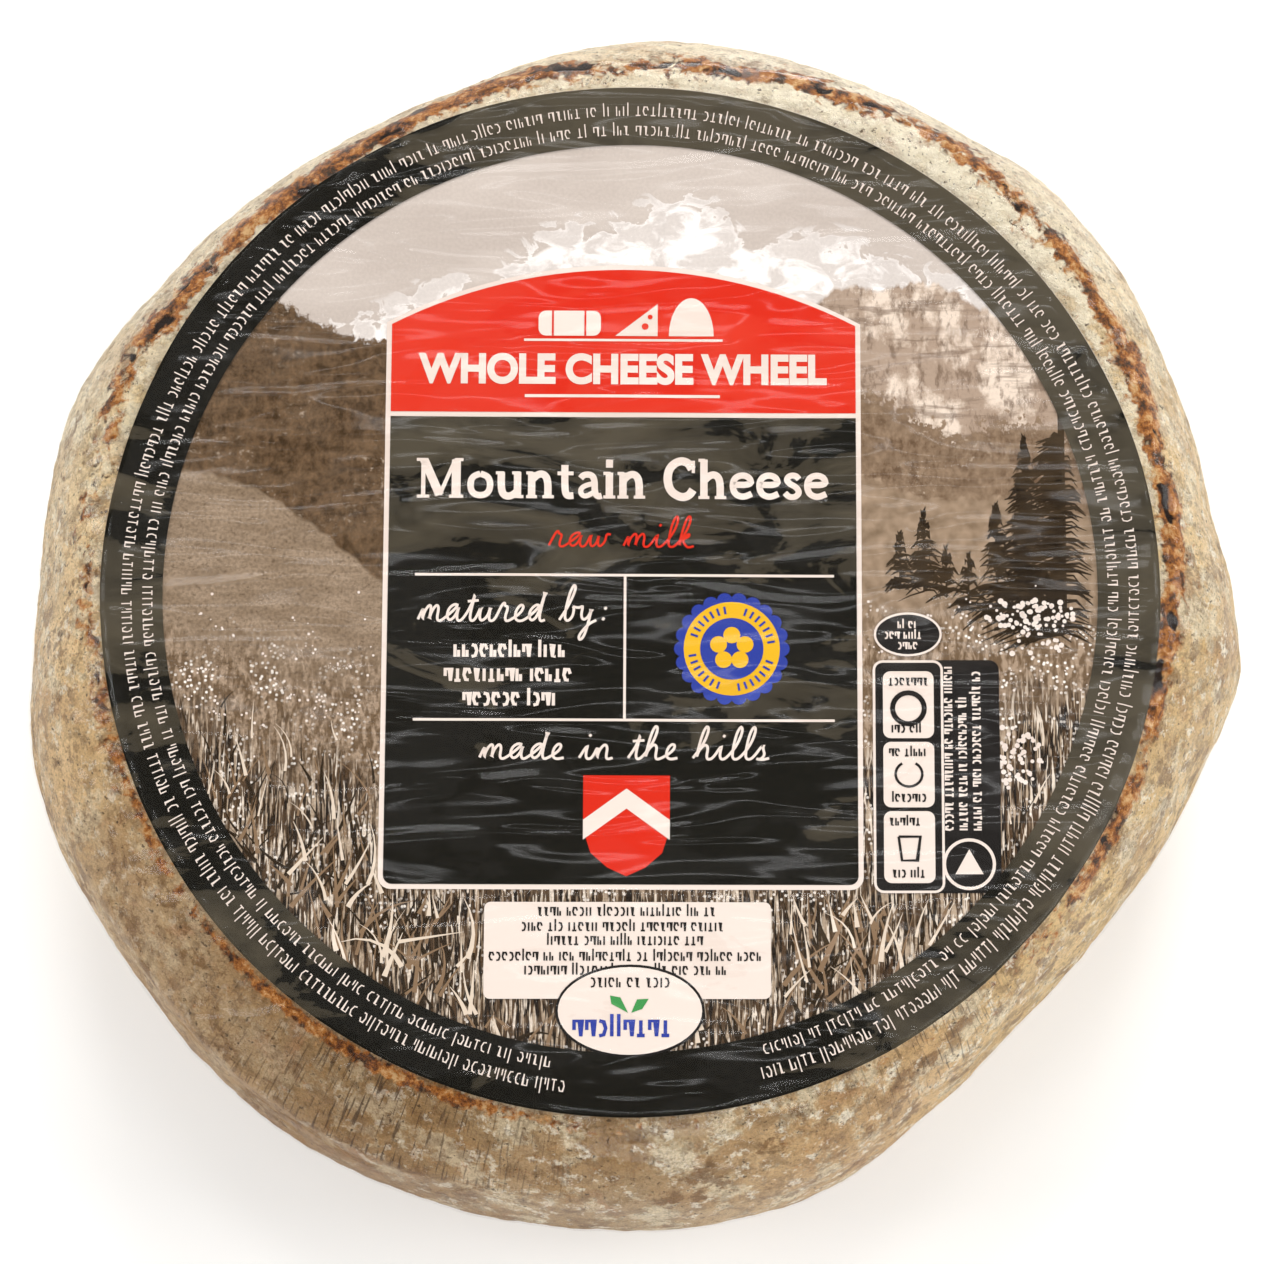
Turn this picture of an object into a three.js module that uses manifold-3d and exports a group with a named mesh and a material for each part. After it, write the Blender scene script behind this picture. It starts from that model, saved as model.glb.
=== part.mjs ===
// A whole mountain cheese with a natural rind, wrapped for sale: the wheel, a round paper label on
// its top face, a small label under it, and clear film drawn tight round everything.
// Millimetres, +Z up, origin at the middle of the underside, +Y towards the top of the label.

import * as THREE from 'three';
import { mergeVertices } from 'three/addons/utils/BufferGeometryUtils.js';
import Module from 'manifold-3d';

// ---- The wheel ----
const wheelDiameter = 197; // across the belt, where the side bulges most
const wheelHeight = 60; // from the edge of the underside to the rim of the top face
const beltHeight = 29; // where the belt is, above the underside
const rimInset = 12.5; // how far the rim of the top face stands in from the belt
const baseInset = 15.5; // the same for the edge of the underside
const faceSag = 1.2; // how much lower the middle of the top face lies than its rim
const edgeRound = 4; // width of the level part of the rounding inside the rim and the base edge
const upperFullness = 1.15; // power of the side's curve: 1 is an ellipse, and more is slacker
const lowerFullness = 1.1;

// The wheel isn't a true circle: it was pressed in cloth and has flats and blunt corners.
// Each pair is an angle in degrees, anticlockwise from +X, and a share of the nominal radius.
const beltOutline = [
  [0, 0.995], [11, 0.974], [28, 0.993], [44, 1.02], [62, 1.0], [90, 1.005], [108, 0.966],
  [120, 0.965], [140, 0.985], [160, 1.018], [178, 1.0], [195, 1.028], [212, 1.012], [236, 1.019],
  [262, 1.0], [286, 0.985], [302, 0.93], [318, 0.907], [342, 0.95], [355, 0.998],
];
const rimOutline = [
  [0, 0.98], [25, 1.0], [50, 1.034], [78, 1.022], [98, 1.014], [122, 0.999], [142, 1.009], [163, 1.04],
  [185, 1.012], [208, 0.982], [232, 0.98], [255, 0.979], [290, 0.962], [325, 0.956], [345, 0.96],
];
// Along the front left the rim is worn lower, and the label bends down over it.
const wornRimDepth = 1.6;
const wornRimAngle = 228; // the middle of the worn stretch
const wornRimWidth = 38; // half of its width, in degrees

// ---- The front label ----
const labelDiameter = 167.5;
const labelThickness = 0.3;
const labelShift = { x: -1.5, y: -0.7 }; // it was laid slightly off the middle of the face

// ---- The back label ----
const backLabel = { width: 58, height: 40, corner: 2.5, thickness: 0.3, x: 0, y: -24 };

// ---- The film ----
const filmThickness = 0.3;
const vent = { diameter: 6, x: -30, y: 36 }; // the small hole that lets the air out as it shrinks

// ---- Clearance and fineness ----
const gap = 0.4; // between any two neighbouring pieces
const columns = 60; // steps round the wheel
const faceRows = 3; // steps of the section across a face, and down the side
const upperRows = 9;
const lowerRows = 6;
const easeRows = 3; // rows over which the film draws in from the label's clearance to the side's
const labelStep = 1.3; // steps of the label where it may bend over the rim

// ---- Worked out ----
const beltRadius = wheelDiameter / 2;
const cheeseBase = filmThickness + gap; // height of the cheese's underside above the film's
const hollowDepth = gap + backLabel.thickness; // the hollow that the back label lies in
const hollowRadius = Math.hypot(
  Math.abs(backLabel.x) + backLabel.width / 2,
  Math.abs(backLabel.y) + backLabel.height / 2,
);
const labelRoom = gap + labelThickness; // what the front label adds between the cheese and the film
const beltRow = faceRows + upperRows;

// A closed smooth curve through pairs of angle and value, read at any angle.
function smoothOutline(pairs) {
  const pair = (index) => {
    const turns = Math.floor(index / pairs.length);
    const [angle, value] = pairs[index - turns * pairs.length];
    return [angle + turns * 360, value];
  };
  return (degrees) => {
    const at = THREE.MathUtils.euclideanModulo(degrees, 360);
    const i = pairs.findLastIndex(([angle]) => angle <= at);
    const [before, from, to, after] = [i - 1, i, i + 1, i + 2].map(pair);
    const span = to[0] - from[0];
    const t = (at - from[0]) / span;
    const slopeFrom = ((to[1] - before[1]) / (to[0] - before[0])) * span;
    const slopeTo = ((after[1] - from[1]) / (after[0] - from[0])) * span;
    return (
      (2 * t ** 3 - 3 * t ** 2 + 1) * from[1] +
      (t ** 3 - 2 * t ** 2 + t) * slopeFrom +
      (3 * t ** 2 - 2 * t ** 3) * to[1] +
      (t ** 3 - t ** 2) * slopeTo
    );
  };
}

const beltShare = smoothOutline(beltOutline);
const rimShare = smoothOutline(rimOutline);

// How much of the wear the rim has at an angle, from 0 to 1.
function wornRim(degrees) {
  const away = THREE.MathUtils.euclideanModulo(degrees - wornRimAngle + 180, 360) - 180;
  return Math.exp(-((away / wornRimWidth) ** 2));
}

// Points down the side from the edge of a face to the belt, on a curve that leaves the face level.
// They stand closer together near the face, where the curve is tighter.
function sidePoints(faceEdge, faceHeight, belt, rows, fullness) {
  return Array.from({ length: rows + 1 }, (_, row) => {
    const turn = (row / rows) ** 1.3 * (Math.PI / 2);
    return [
      faceEdge + (belt - faceEdge) * Math.sin(turn) ** fullness,
      beltHeight + (faceHeight - beltHeight) * Math.cos(turn),
    ];
  });
}

// The wheel's section at one angle, from the middle of the top face round to the middle of the
// underside, as points of radius and of height above the edge of the underside.
function wheelSection(degrees) {
  const belt = beltRadius * beltShare(degrees);
  const rim = (beltRadius - rimInset) * rimShare(degrees) - edgeRound;
  const base = (beltRadius - baseInset) * rimShare(degrees) - edgeRound;
  const rimHeight = wheelHeight - wornRimDepth * wornRim(degrees);
  const middleHeight = wheelHeight - faceSag;
  const topFace = Array.from({ length: faceRows }, (_, row) => {
    const share = row / faceRows;
    return [rim * share, middleHeight + (rimHeight - middleHeight) * share ** 3];
  });
  const upperSide = sidePoints(rim, rimHeight, belt, upperRows, upperFullness);
  const lowerSide = sidePoints(base, 0, belt, lowerRows, lowerFullness).reverse().slice(1);
  const underside = Array.from({ length: faceRows }, (_, row) => {
    return [hollowRadius * (1 - row / (faceRows - 1)), hollowDepth];
  });
  return [...topFace, ...upperSide, ...lowerSide, ...underside];
}

// Unit normals of a section, pointing out of the wheel.
function sectionNormals(section) {
  return section.map((_, i) => {
    if (i === 0) return [0, 1];
    if (i === section.length - 1) return [0, -1];
    const [r0, z0] = section[i - 1];
    const [r1, z1] = section[i + 1];
    const length = Math.hypot(r1 - r0, z1 - z0);
    return [(z0 - z1) / length, (r1 - r0) / length];
  });
}

// A lathed body whose section changes with the angle. A section runs from the top to the underside,
// and a lathe's profile the other way. place(point, angle) gives each vertex.
function latheRound(sectionAt, place) {
  const profileAt = (degrees) => sectionAt(degrees).toReversed();
  const rows = profileAt(0).length;
  const geometry = new THREE.LatheGeometry(
    profileAt(0).map(([r, z]) => new THREE.Vector2(r, z)),
    columns,
  );
  for (let column = 0; column <= columns; column += 1) {
    const degrees = ((column % columns) * 360) / columns;
    profileAt(degrees).forEach((point, row) => {
      const [x, y, z] = place(point, degrees);
      geometry.attributes.position.setXYZ(column * rows + row, x, y, z);
    });
  }
  return geometry;
}

// The place of a point of radius and height at an angle.
function aroundAxis([r, z], degrees) {
  const angle = THREE.MathUtils.degToRad(degrees);
  return [r * Math.cos(angle), r * Math.sin(angle), z];
}

const wasm = await Module();
wasm.setup();

function toSolid(geometry) {
  const plain = geometry.clone();
  plain.deleteAttribute('normal');
  plain.deleteAttribute('uv');
  const { attributes, index } = mergeVertices(plain);
  const vertProperties = Float32Array.from(attributes.position.array);
  const triVerts = Uint32Array.from(index.array);
  return new wasm.Manifold(new wasm.Mesh({ numProp: 3, vertProperties, triVerts }));
}

function toGeometry(solid) {
  const { vertProperties, triVerts } = solid.getMesh();
  const geometry = new THREE.BufferGeometry();
  geometry.setAttribute('position', new THREE.BufferAttribute(vertProperties, 3));
  geometry.setIndex(new THREE.BufferAttribute(triVerts, 1));
  return geometry;
}

function namedMesh(name, geometry, look, z) {
  const piece = new THREE.Mesh(geometry, new THREE.MeshStandardMaterial({ metalness: 0, ...look }));
  piece.name = name;
  piece.position.z = z;
  return piece;
}

// ---- cheese_wheel ----
function makeWheel() {
  const look = { color: 0xc3a87d, roughness: 0.85 };
  return namedMesh('cheese_wheel', latheRound(wheelSection, aroundAxis), look, cheeseBase);
}

// ---- front_label ----
// A point over the wheel's skin: its distance from the axis is measured along the skin, as paper
// that is laid on bends down over the rim, and it is lifted straight off the skin.
function draped(x, y, lift) {
  const angle = THREE.MathUtils.radToDeg(Math.atan2(y, x));
  const section = wheelSection(angle);
  const normals = sectionNormals(section);
  let left = Math.hypot(x, y);
  for (let i = 1; i < section.length; i += 1) {
    const [r0, z0] = section[i - 1];
    const [r1, z1] = section[i];
    const length = Math.hypot(r1 - r0, z1 - z0);
    if (left <= length) {
      const t = left / length;
      const mix = (a, b) => a + (b - a) * t;
      const [nr, nz] = [0, 1].map((axis) => mix(normals[i - 1][axis], normals[i][axis]));
      return aroundAxis([mix(r0, r1) + nr * lift, mix(z0, z1) + nz * lift], angle);
    }
    left -= length;
  }
  return aroundAxis(section.at(-1), angle);
}

// The radii of the label's rings: a few over the level face, and close ones from where the nearest
// stretch of the rim begins to round off.
function labelRings() {
  const edge = labelDiameter / 2;
  const leastRim = (beltRadius - rimInset) * Math.min(...rimOutline.map(([, share]) => share));
  const bend = leastRim - edgeRound - Math.hypot(labelShift.x, labelShift.y) - labelStep;
  const level = Math.min(bend, edge - labelStep);
  const steps = Math.ceil((edge - level) / labelStep);
  const close = Array.from({ length: steps }, (_, i) => level + ((edge - level) * (i + 1)) / steps);
  return [0, level / 2, level, ...close];
}

function makeFrontLabel() {
  const upper = labelRings().map((r) => [r, gap + labelThickness]);
  const lower = labelRings().map((r) => [r, gap]).reverse();
  const geometry = latheRound(
    () => [...upper, ...lower],
    (point, degrees) => {
      const [x, y, lift] = aroundAxis(point, degrees);
      return draped(x + labelShift.x, y + labelShift.y, lift);
    },
  );
  return namedMesh('front_label', geometry, { color: 0x6b655b, roughness: 0.6 }, cheeseBase);
}

// ---- back_label ----
function makeBackLabel() {
  const { width, height, corner, thickness, x, y } = backLabel;
  const shape = new THREE.Shape();
  const [left, right] = [x - width / 2, x + width / 2];
  const [bottom, top] = [y - height / 2, y + height / 2];
  shape.absarc(right - corner, top - corner, corner, 0, Math.PI / 2);
  shape.absarc(left + corner, top - corner, corner, Math.PI / 2, Math.PI);
  shape.absarc(left + corner, bottom + corner, corner, Math.PI, Math.PI * 1.5);
  shape.absarc(right - corner, bottom + corner, corner, Math.PI * 1.5, Math.PI * 2);
  const settings = { depth: thickness, bevelEnabled: false, curveSegments: 4 };
  const geometry = new THREE.ExtrudeGeometry(shape, settings);
  return namedMesh('back_label', geometry, { color: 0xf2efe8, roughness: 0.6 }, cheeseBase);
}

// ---- shrink_film ----
// The film lies close round the side, leaves room for the front label above, and is drawn straight
// across the hollow of the underside.
function filmSolid(lift) {
  const section = (degrees) => {
    const skin = wheelSection(degrees);
    const normals = sectionNormals(skin);
    const underside = skin.length - faceRows;
    return skin.map(([r, z], row) => {
      if (row >= underside) return [r, -lift];
      const room = labelRoom * Math.min(1, Math.max(0, beltRow - row) / easeRows);
      return [r + normals[row][0] * (lift + room), Math.max(-lift, z + normals[row][1] * (lift + room))];
    });
  };
  return toSolid(latheRound(section, aroundAxis));
}

function makeFilm() {
  const hole = new THREE.CylinderGeometry(vent.diameter / 2, vent.diameter / 2, cheeseBase * 2, 16);
  hole.rotateX(Math.PI / 2);
  hole.translate(vent.x, vent.y, -cheeseBase);
  const film = filmSolid(cheeseBase).subtract(filmSolid(gap)).subtract(toSolid(hole));
  const look = { color: 0xf4f4f0, roughness: 0.08, transparent: true, opacity: 0.25 };
  return namedMesh('shrink_film', toGeometry(film), look, cheeseBase);
}

// ---- The whole, with its origin at the middle of its underside ----
const cheese = new THREE.Group();
cheese.add(makeWheel(), makeFrontLabel(), makeBackLabel(), makeFilm());
const middle = new THREE.Box3().setFromObject(cheese).getCenter(new THREE.Vector3());
cheese.position.set(-middle.x, -middle.y, 0);

export default cheese;
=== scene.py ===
import bisect
import math
import random

import bmesh
import bpy
from mathutils import Matrix, Vector, noise


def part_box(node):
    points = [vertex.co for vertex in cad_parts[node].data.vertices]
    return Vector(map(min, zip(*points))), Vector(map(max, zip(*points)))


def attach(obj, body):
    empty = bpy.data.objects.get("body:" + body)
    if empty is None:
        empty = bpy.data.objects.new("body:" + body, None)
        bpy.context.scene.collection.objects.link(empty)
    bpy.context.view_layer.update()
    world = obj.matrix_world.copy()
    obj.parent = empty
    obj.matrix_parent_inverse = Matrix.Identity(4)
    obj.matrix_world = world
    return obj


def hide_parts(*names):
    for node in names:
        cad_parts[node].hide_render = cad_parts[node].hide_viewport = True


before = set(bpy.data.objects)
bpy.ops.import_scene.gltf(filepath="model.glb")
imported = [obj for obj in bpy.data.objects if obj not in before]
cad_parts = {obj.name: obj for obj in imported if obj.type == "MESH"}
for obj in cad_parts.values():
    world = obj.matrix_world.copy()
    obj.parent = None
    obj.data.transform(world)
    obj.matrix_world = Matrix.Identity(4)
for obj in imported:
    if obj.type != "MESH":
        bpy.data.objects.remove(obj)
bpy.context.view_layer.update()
mm = 0.001
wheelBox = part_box("cheese_wheel")

# A whole mountain cheese in clear film, with a round printed label on its top face.
# Lengths in the dictionaries are millimetres, angles are degrees anticlockwise from +X.

wheel = {
    "diameter": 197,
    "height": 60,
    "beltHeight": 29,
    "rimInset": 12.5,
    "baseInset": 15.5,
    "faceSag": 1.2,
    "edgeRound": 4,
    "upperFullness": 1.15,
    "lowerFullness": 1.1,
    "wornDepth": 1.6,
    "wornAngle": 228,
    "wornWidth": 38,
    "hollow": 0.7,
    "columns": 760,
}
# angle and share of the nominal radius, for the bulging belt and for the rim of the top face
beltOutline = [
    (0, 0.995), (11, 0.974), (28, 0.993), (44, 1.02), (62, 1.0), (90, 1.005), (108, 0.966),
    (120, 0.965), (140, 0.985), (160, 1.018), (178, 1.0), (195, 1.028), (212, 1.012), (236, 1.019),
    (262, 1.0), (286, 0.985), (302, 0.93), (318, 0.907), (342, 0.95), (355, 0.998),
]
rimOutline = [
    (0, 0.98), (25, 1.0), (50, 1.034), (78, 1.022), (98, 1.014), (122, 0.999), (142, 1.009),
    (163, 1.04), (185, 1.012), (208, 0.982), (232, 0.98), (255, 0.979), (290, 0.962),
    (325, 0.956), (345, 0.96),
]


def closedCurve(pairs, stepsPerDegree=4):
    # a smooth closed curve through the pairs, sampled once so that it is quick to read
    count = len(pairs)

    def pair(index):
        return (pairs[index % count][0] + 360 * (index // count), pairs[index % count][1])

    samples = []
    for step in range(360 * stepsPerDegree):
        at = step / stepsPerDegree
        i = max(k for k in range(count) if pairs[k][0] <= at)
        before, start, end, after = (pair(i + k) for k in (-1, 0, 1, 2))
        span = end[0] - start[0]
        t = (at - start[0]) / span
        slopeStart = (end[1] - before[1]) / (end[0] - before[0]) * span
        slopeEnd = (after[1] - start[1]) / (after[0] - start[0]) * span
        samples.append(
            (2 * t**3 - 3 * t**2 + 1) * start[1]
            + (t**3 - 2 * t**2 + t) * slopeStart
            + (3 * t**2 - 2 * t**3) * end[1]
            + (t**3 - t**2) * slopeEnd
        )

    def read(degrees):
        place = (degrees % 360) * stepsPerDegree
        low = int(place)
        share = place - low
        total = len(samples)
        return samples[low % total] * (1 - share) + samples[(low + 1) % total] * share

    return read


def srgb(hexColour, alpha=1.0):
    # a colour written as sRGB hex, as the linear numbers that nodes take
    parts = [int(hexColour[i : i + 2], 16) / 255 for i in (1, 3, 5)]
    line = [c / 12.92 if c <= 0.04045 else ((c + 0.055) / 1.055) ** 2.4 for c in parts]
    return (*line, alpha)


beltShare = closedCurve(beltOutline)
rimShare = closedCurve(rimOutline)
beltRadius = wheel["diameter"] / 2


def near(degrees, middle, width):
    # 1 at the middle angle, falling smoothly to nothing past the width
    away = (degrees - middle + 180) % 360 - 180
    return math.exp(-((away / width) ** 2))


def smoothStep(low, high, value):
    t = min(1, max(0, (value - low) / (high - low)))
    return t * t * (3 - 2 * t)


def section(degrees):
    # the sizes of the wheel's section at an angle
    rim = (beltRadius - wheel["rimInset"]) * rimShare(degrees) - wheel["edgeRound"]
    base = (beltRadius - wheel["baseInset"]) * rimShare(degrees) - wheel["edgeRound"]
    worn = wheel["wornDepth"] * near(degrees, wheel["wornAngle"], wheel["wornWidth"])
    return beltRadius * beltShare(degrees), rim, base, wheel["height"] - worn


def outlineMiddle():
    # the middle of the belt's box, seen from the wheel's own axis
    ring = [(beltRadius * beltShare(a), math.radians(a)) for a in range(0, 360, 6)]
    xs = [r * math.cos(a) for r, a in ring]
    ys = [r * math.sin(a) for r, a in ring]
    return (min(xs) + max(xs)) / 2, (min(ys) + max(ys)) / 2


middleX, middleY = outlineMiddle()
axisX = (wheelBox[0][0] + wheelBox[1][0]) / 2 / mm - middleX
axisY = (wheelBox[0][1] + wheelBox[1][1]) / 2 / mm - middleY
cheeseBase = wheelBox[0][2] / mm


def sectionPoint(degrees, place):
    # place runs 0 to 1 over the top face, 1 to 2 down to the belt, 2 to 3 to the base edge and
    # 3 to 4 over the underside; gives radius, height and the outward normal
    belt, rim, base, rimHeight = section(degrees)
    belly = wheel["beltHeight"]
    if place < 1:
        middle = wheel["height"] - wheel["faceSag"]
        slope = 3 * (rimHeight - middle) * place**2 / rim
        return rim * place, middle + (rimHeight - middle) * place**3, -slope, 1
    if place <= 2:
        turn = (place - 1) * math.pi / 2
        power = wheel["upperFullness"]
        r = rim + (belt - rim) * math.sin(turn) ** power
        z = belly + (rimHeight - belly) * math.cos(turn)
        along = (belt - rim) * power * max(math.sin(turn), 1e-3) ** (power - 1) * math.cos(turn)
        return r, z, (rimHeight - belly) * math.sin(turn), along
    if place <= 3:
        turn = (3 - place) * math.pi / 2
        power = wheel["lowerFullness"]
        r = base + (belt - base) * math.sin(turn) ** power
        z = belly * (1 - math.cos(turn))
        along = (belt - base) * power * max(math.sin(turn), 1e-3) ** (power - 1) * math.cos(turn)
        return r, z, belly * math.sin(turn), -along
    share = 4 - place
    return base * share, wheel["hollow"] * smoothStep(1, 0.7, share), 0, -1


def addNode(tree, kind, settings=None, links=None):
    # settings name a socket by its name or number, or else one of the node's own values
    node = tree.nodes.new("ShaderNode" + kind)
    for name, value in (settings or {}).items():
        if isinstance(name, int) or name in node.inputs:
            node.inputs[name].default_value = value
        else:
            setattr(node, name, value)
    for name, source in (links or {}).items():
        tree.links.new(source, node.inputs[name])
    return node


def newMaterial(name):
    material = bpy.data.materials.new(name)
    material.use_nodes = True
    tree = material.node_tree
    tree.nodes.clear()
    return material, tree


def combine(tree, operation, first, second):
    # arithmetic on two masks, or on a mask and a number
    node = addNode(tree, "Math", {"operation": operation})
    for number, part in enumerate((first, second)):
        if isinstance(part, (int, float)):
            node.inputs[number].default_value = part
        else:
            tree.links.new(part, node.inputs[number])
    return node.outputs[0]


def times(tree, first, *others):
    # masks and shares multiplied together
    for other in others:
        first = combine(tree, "MULTIPLY", first, other)
    return first


def between(tree, value, low, high):
    # a mask that is 0 where the value is low, and grows evenly to 1 where it is high
    return addNode(tree, "MapRange", {"From Min": low, "From Max": high}, {"Value": value}).outputs[0]


def stretched(tree, at, scale):
    return addNode(tree, "VectorMath", {"operation": "MULTIPLY", 1: scale}, {0: at}).outputs[0]


def patches(tree, at, size, detail, rough=0.5, warp=0.0):
    # soft noise with patches about size millimetres across
    settings = {"Scale": 1 / (size * mm), "Detail": detail, "Roughness": rough, "Distortion": warp}
    return addNode(tree, "TexNoise", settings, {"Vector": at}).outputs[0]


def mottle(tree, at, size, low, high, detail=3, stretch=(1, 1, 1), warp=0.0, rough=0.55):
    # a mask of patches, from 0 where their noise is under low to 1 where it is over high
    pattern = patches(tree, stretched(tree, at, stretch), size, detail, rough, warp)
    return between(tree, pattern, low, high)


def paintLayers(tree, first, layers):
    # each layer is a colour or another colour socket, then the masks and shares it is laid by
    below = first
    for colour, *masks in layers:
        mix = addNode(tree, "Mix", {"data_type": "RGBA"}, {0: times(tree, *masks)})
        for number, part in ((6, below), (7, colour)):
            if isinstance(part, str):
                mix.inputs[number].default_value = srgb(part)
            else:
                tree.links.new(part, mix.inputs[number])
        below = mix.outputs[2]
    return below


def bumpOf(tree, height, depth, strength=1.0):
    # shades the surface as if the mask stood depth millimetres high
    settings = {"Strength": strength, "Distance": depth * mm}
    return addNode(tree, "Bump", settings, {"Height": height}).outputs[0]


def matteSurface(tree, colour, roughness, specular, normal=None):
    # an opaque surface, with no more sheen than its specular share gives
    settings = {"Roughness": roughness, "IOR": 1.45, "Specular IOR Level": specular}
    links = {"Base Color": colour, "Normal": normal} if normal else {"Base Color": colour}
    shader = addNode(tree, "BsdfPrincipled", settings, links)
    addNode(tree, "OutputMaterial", links={"Surface": shader.outputs[0]})


def finishPiece(name, bm, materials, stands=None, smooth=True):
    # turns the bmesh into a piece that rides on the wheel's body
    mesh = bpy.data.meshes.new(name)
    bm.to_mesh(mesh)
    bm.free()
    for material in materials:
        mesh.materials.append(material)
    for polygon in mesh.polygons:
        polygon.use_smooth = smooth
    piece = bpy.data.objects.new(name, mesh)
    bpy.context.scene.collection.objects.link(piece)
    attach(piece, "root")
    if stands:
        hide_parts(stands)
    return piece


def bentSkin(places, columns, marks):
    # a flat grid whose columns are angles and whose rows are places, ready to be bent round
    bm = bmesh.new()
    for mark in ("degrees", "place", *marks):
        bm.verts.layers.float.new(mark)
    rows = len(places) - 1
    half = Matrix.Diagonal((0.5, 0.5, 1, 1)) @ Matrix.Translation((1, 1, 0))
    bmesh.ops.create_grid(bm, x_segments=columns, y_segments=rows, size=1, matrix=half)
    degreesLayer = bm.verts.layers.float["degrees"]
    placeLayer = bm.verts.layers.float["place"]
    for vert in bm.verts:
        vert[degreesLayer] = vert.co.x * 360
        vert[placeLayer] = places[len(places) - 1 - round(vert.co.y * rows)]
    return bm


def closeSkin(bm):
    # the seam and the two poles are joined up
    bmesh.ops.remove_doubles(bm, verts=bm.verts[:], dist=2e-6)
    bmesh.ops.recalc_face_normals(bm, faces=bm.faces[:])


def skinPosition(degrees, place, lift):
    # a point over the cheese's skin, in metres in the object's frame
    r, z, outR, outZ = sectionPoint(degrees, place)
    size = math.hypot(outR, outZ)
    r += lift * outR / size
    z += lift * outZ / size
    angle = math.radians(degrees)
    return Vector((axisX + r * math.cos(angle), axisY + r * math.sin(angle), cheeseBase + z)) * mm


def rowsBetween(start, end, count):
    return [start + (end - start) * i / count for i in range(count)]


rind = {
    "lumpSize": 14,
    "lumpHeight": 0.5,
    "crumbSize": 3.2,
    "crumbHeight": 0.35,
    "ridgeWidth": 2.1,
    "ridgeHeight": 0.6,
    "pitDepth": 0.8,
    "creasePlace": 1.66,
    "creaseHeight": 1.3,
    "stainMiddle": (-1.5, -0.7),
    "stainRadius": 85.0,
    "stainWidth": 1.1,
}
# angle and radius of the worn crest of the rim
ridgeOutline = [
    (0, 84.6), (18, 85.4), (36, 87.2), (54, 89.8), (66, 88.8), (87, 88.2), (109, 87.4), (118, 86.6),
    (138, 87.6), (158, 89.4), (180, 88), (206, 85), (231, 85.4), (260, 84.8), (290, 84),
    (326, 83.4), (340, 83.3), (350, 83.6),
]
# angle and colour of the rind's own ground, all the way round
groundColours = [
    (0, "#ebca93"), (25, "#f2d6a6"), (45, "#f5e3c3"), (62, "#fbeed4"), (80, "#fbe9ca"), (97, "#f6deb8"),
    (120, "#eedcbc"), (145, "#e9d6b2"), (165, "#f0d5a6"), (182, "#f2cf9a"), (198, "#dbb784"),
    (215, "#bf9f75"), (235, "#a08058"), (252, "#a38257"), (268, "#c3a57c"), (284, "#d0ae80"),
    (300, "#dfb983"), (318, "#e5c388"), (340, "#e9c78d"),
]
ridgeRadius = closedCurve(ridgeOutline)
groundParts = [closedCurve([(a, srgb(c)[k]) for a, c in groundColours], 1) for k in range(3)]


def ridgeStrength(degrees):
    # the worn brown rim is plain to see from the right round to the left, and faint in front
    right = near(degrees, 12, 46)
    left = near(degrees, 124, 44)
    return min(1, max(right, left, 0.8 * near(degrees, 72, 34), 0.4 * near(degrees, 190, 26)))


def skinMarks(point, degrees, place):
    # height of the relief and how much of each finish there is at a point of the skin
    across = math.hypot(point.x - axisX, point.y - axisY)
    lump = noise.noise(point / rind["lumpSize"])
    crumb = noise.noise(point / rind["crumbSize"]) + 0.6 * noise.noise(point * 2.1 / rind["crumbSize"])
    wander = 1.7 * noise.noise(point / 11) + 0.9 * noise.noise(point / 3.4)
    strength = ridgeStrength(degrees) if 0.95 < place < 2 else 0
    broken = smoothStep(-0.3, 0.25, noise.noise(point / 8 + Vector((40, 0, 0))) + 0.12)
    fromRidge = (across - ridgeRadius(degrees) - wander) / rind["ridgeWidth"]
    ridge = math.exp(-(fromRidge**2)) * strength
    core = math.exp(-((fromRidge / 0.55) ** 2)) * strength
    pit = core * smoothStep(0.08, 0.4, noise.noise(point / 4.5 + Vector((0, 17, 3))))
    crease = math.exp(-(((place - rind["creasePlace"]) / 0.09) ** 2)) * near(degrees, 226, 26)
    height = rind["lumpHeight"] * lump + rind["crumbHeight"] * crumb * 0.6
    height += rind["ridgeHeight"] * ridge * (0.4 + 0.6 * broken) - rind["pitDepth"] * pit
    height += rind["creaseHeight"] * crease
    return height, ridge * (0.5 + 0.5 * broken), pit


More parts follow.
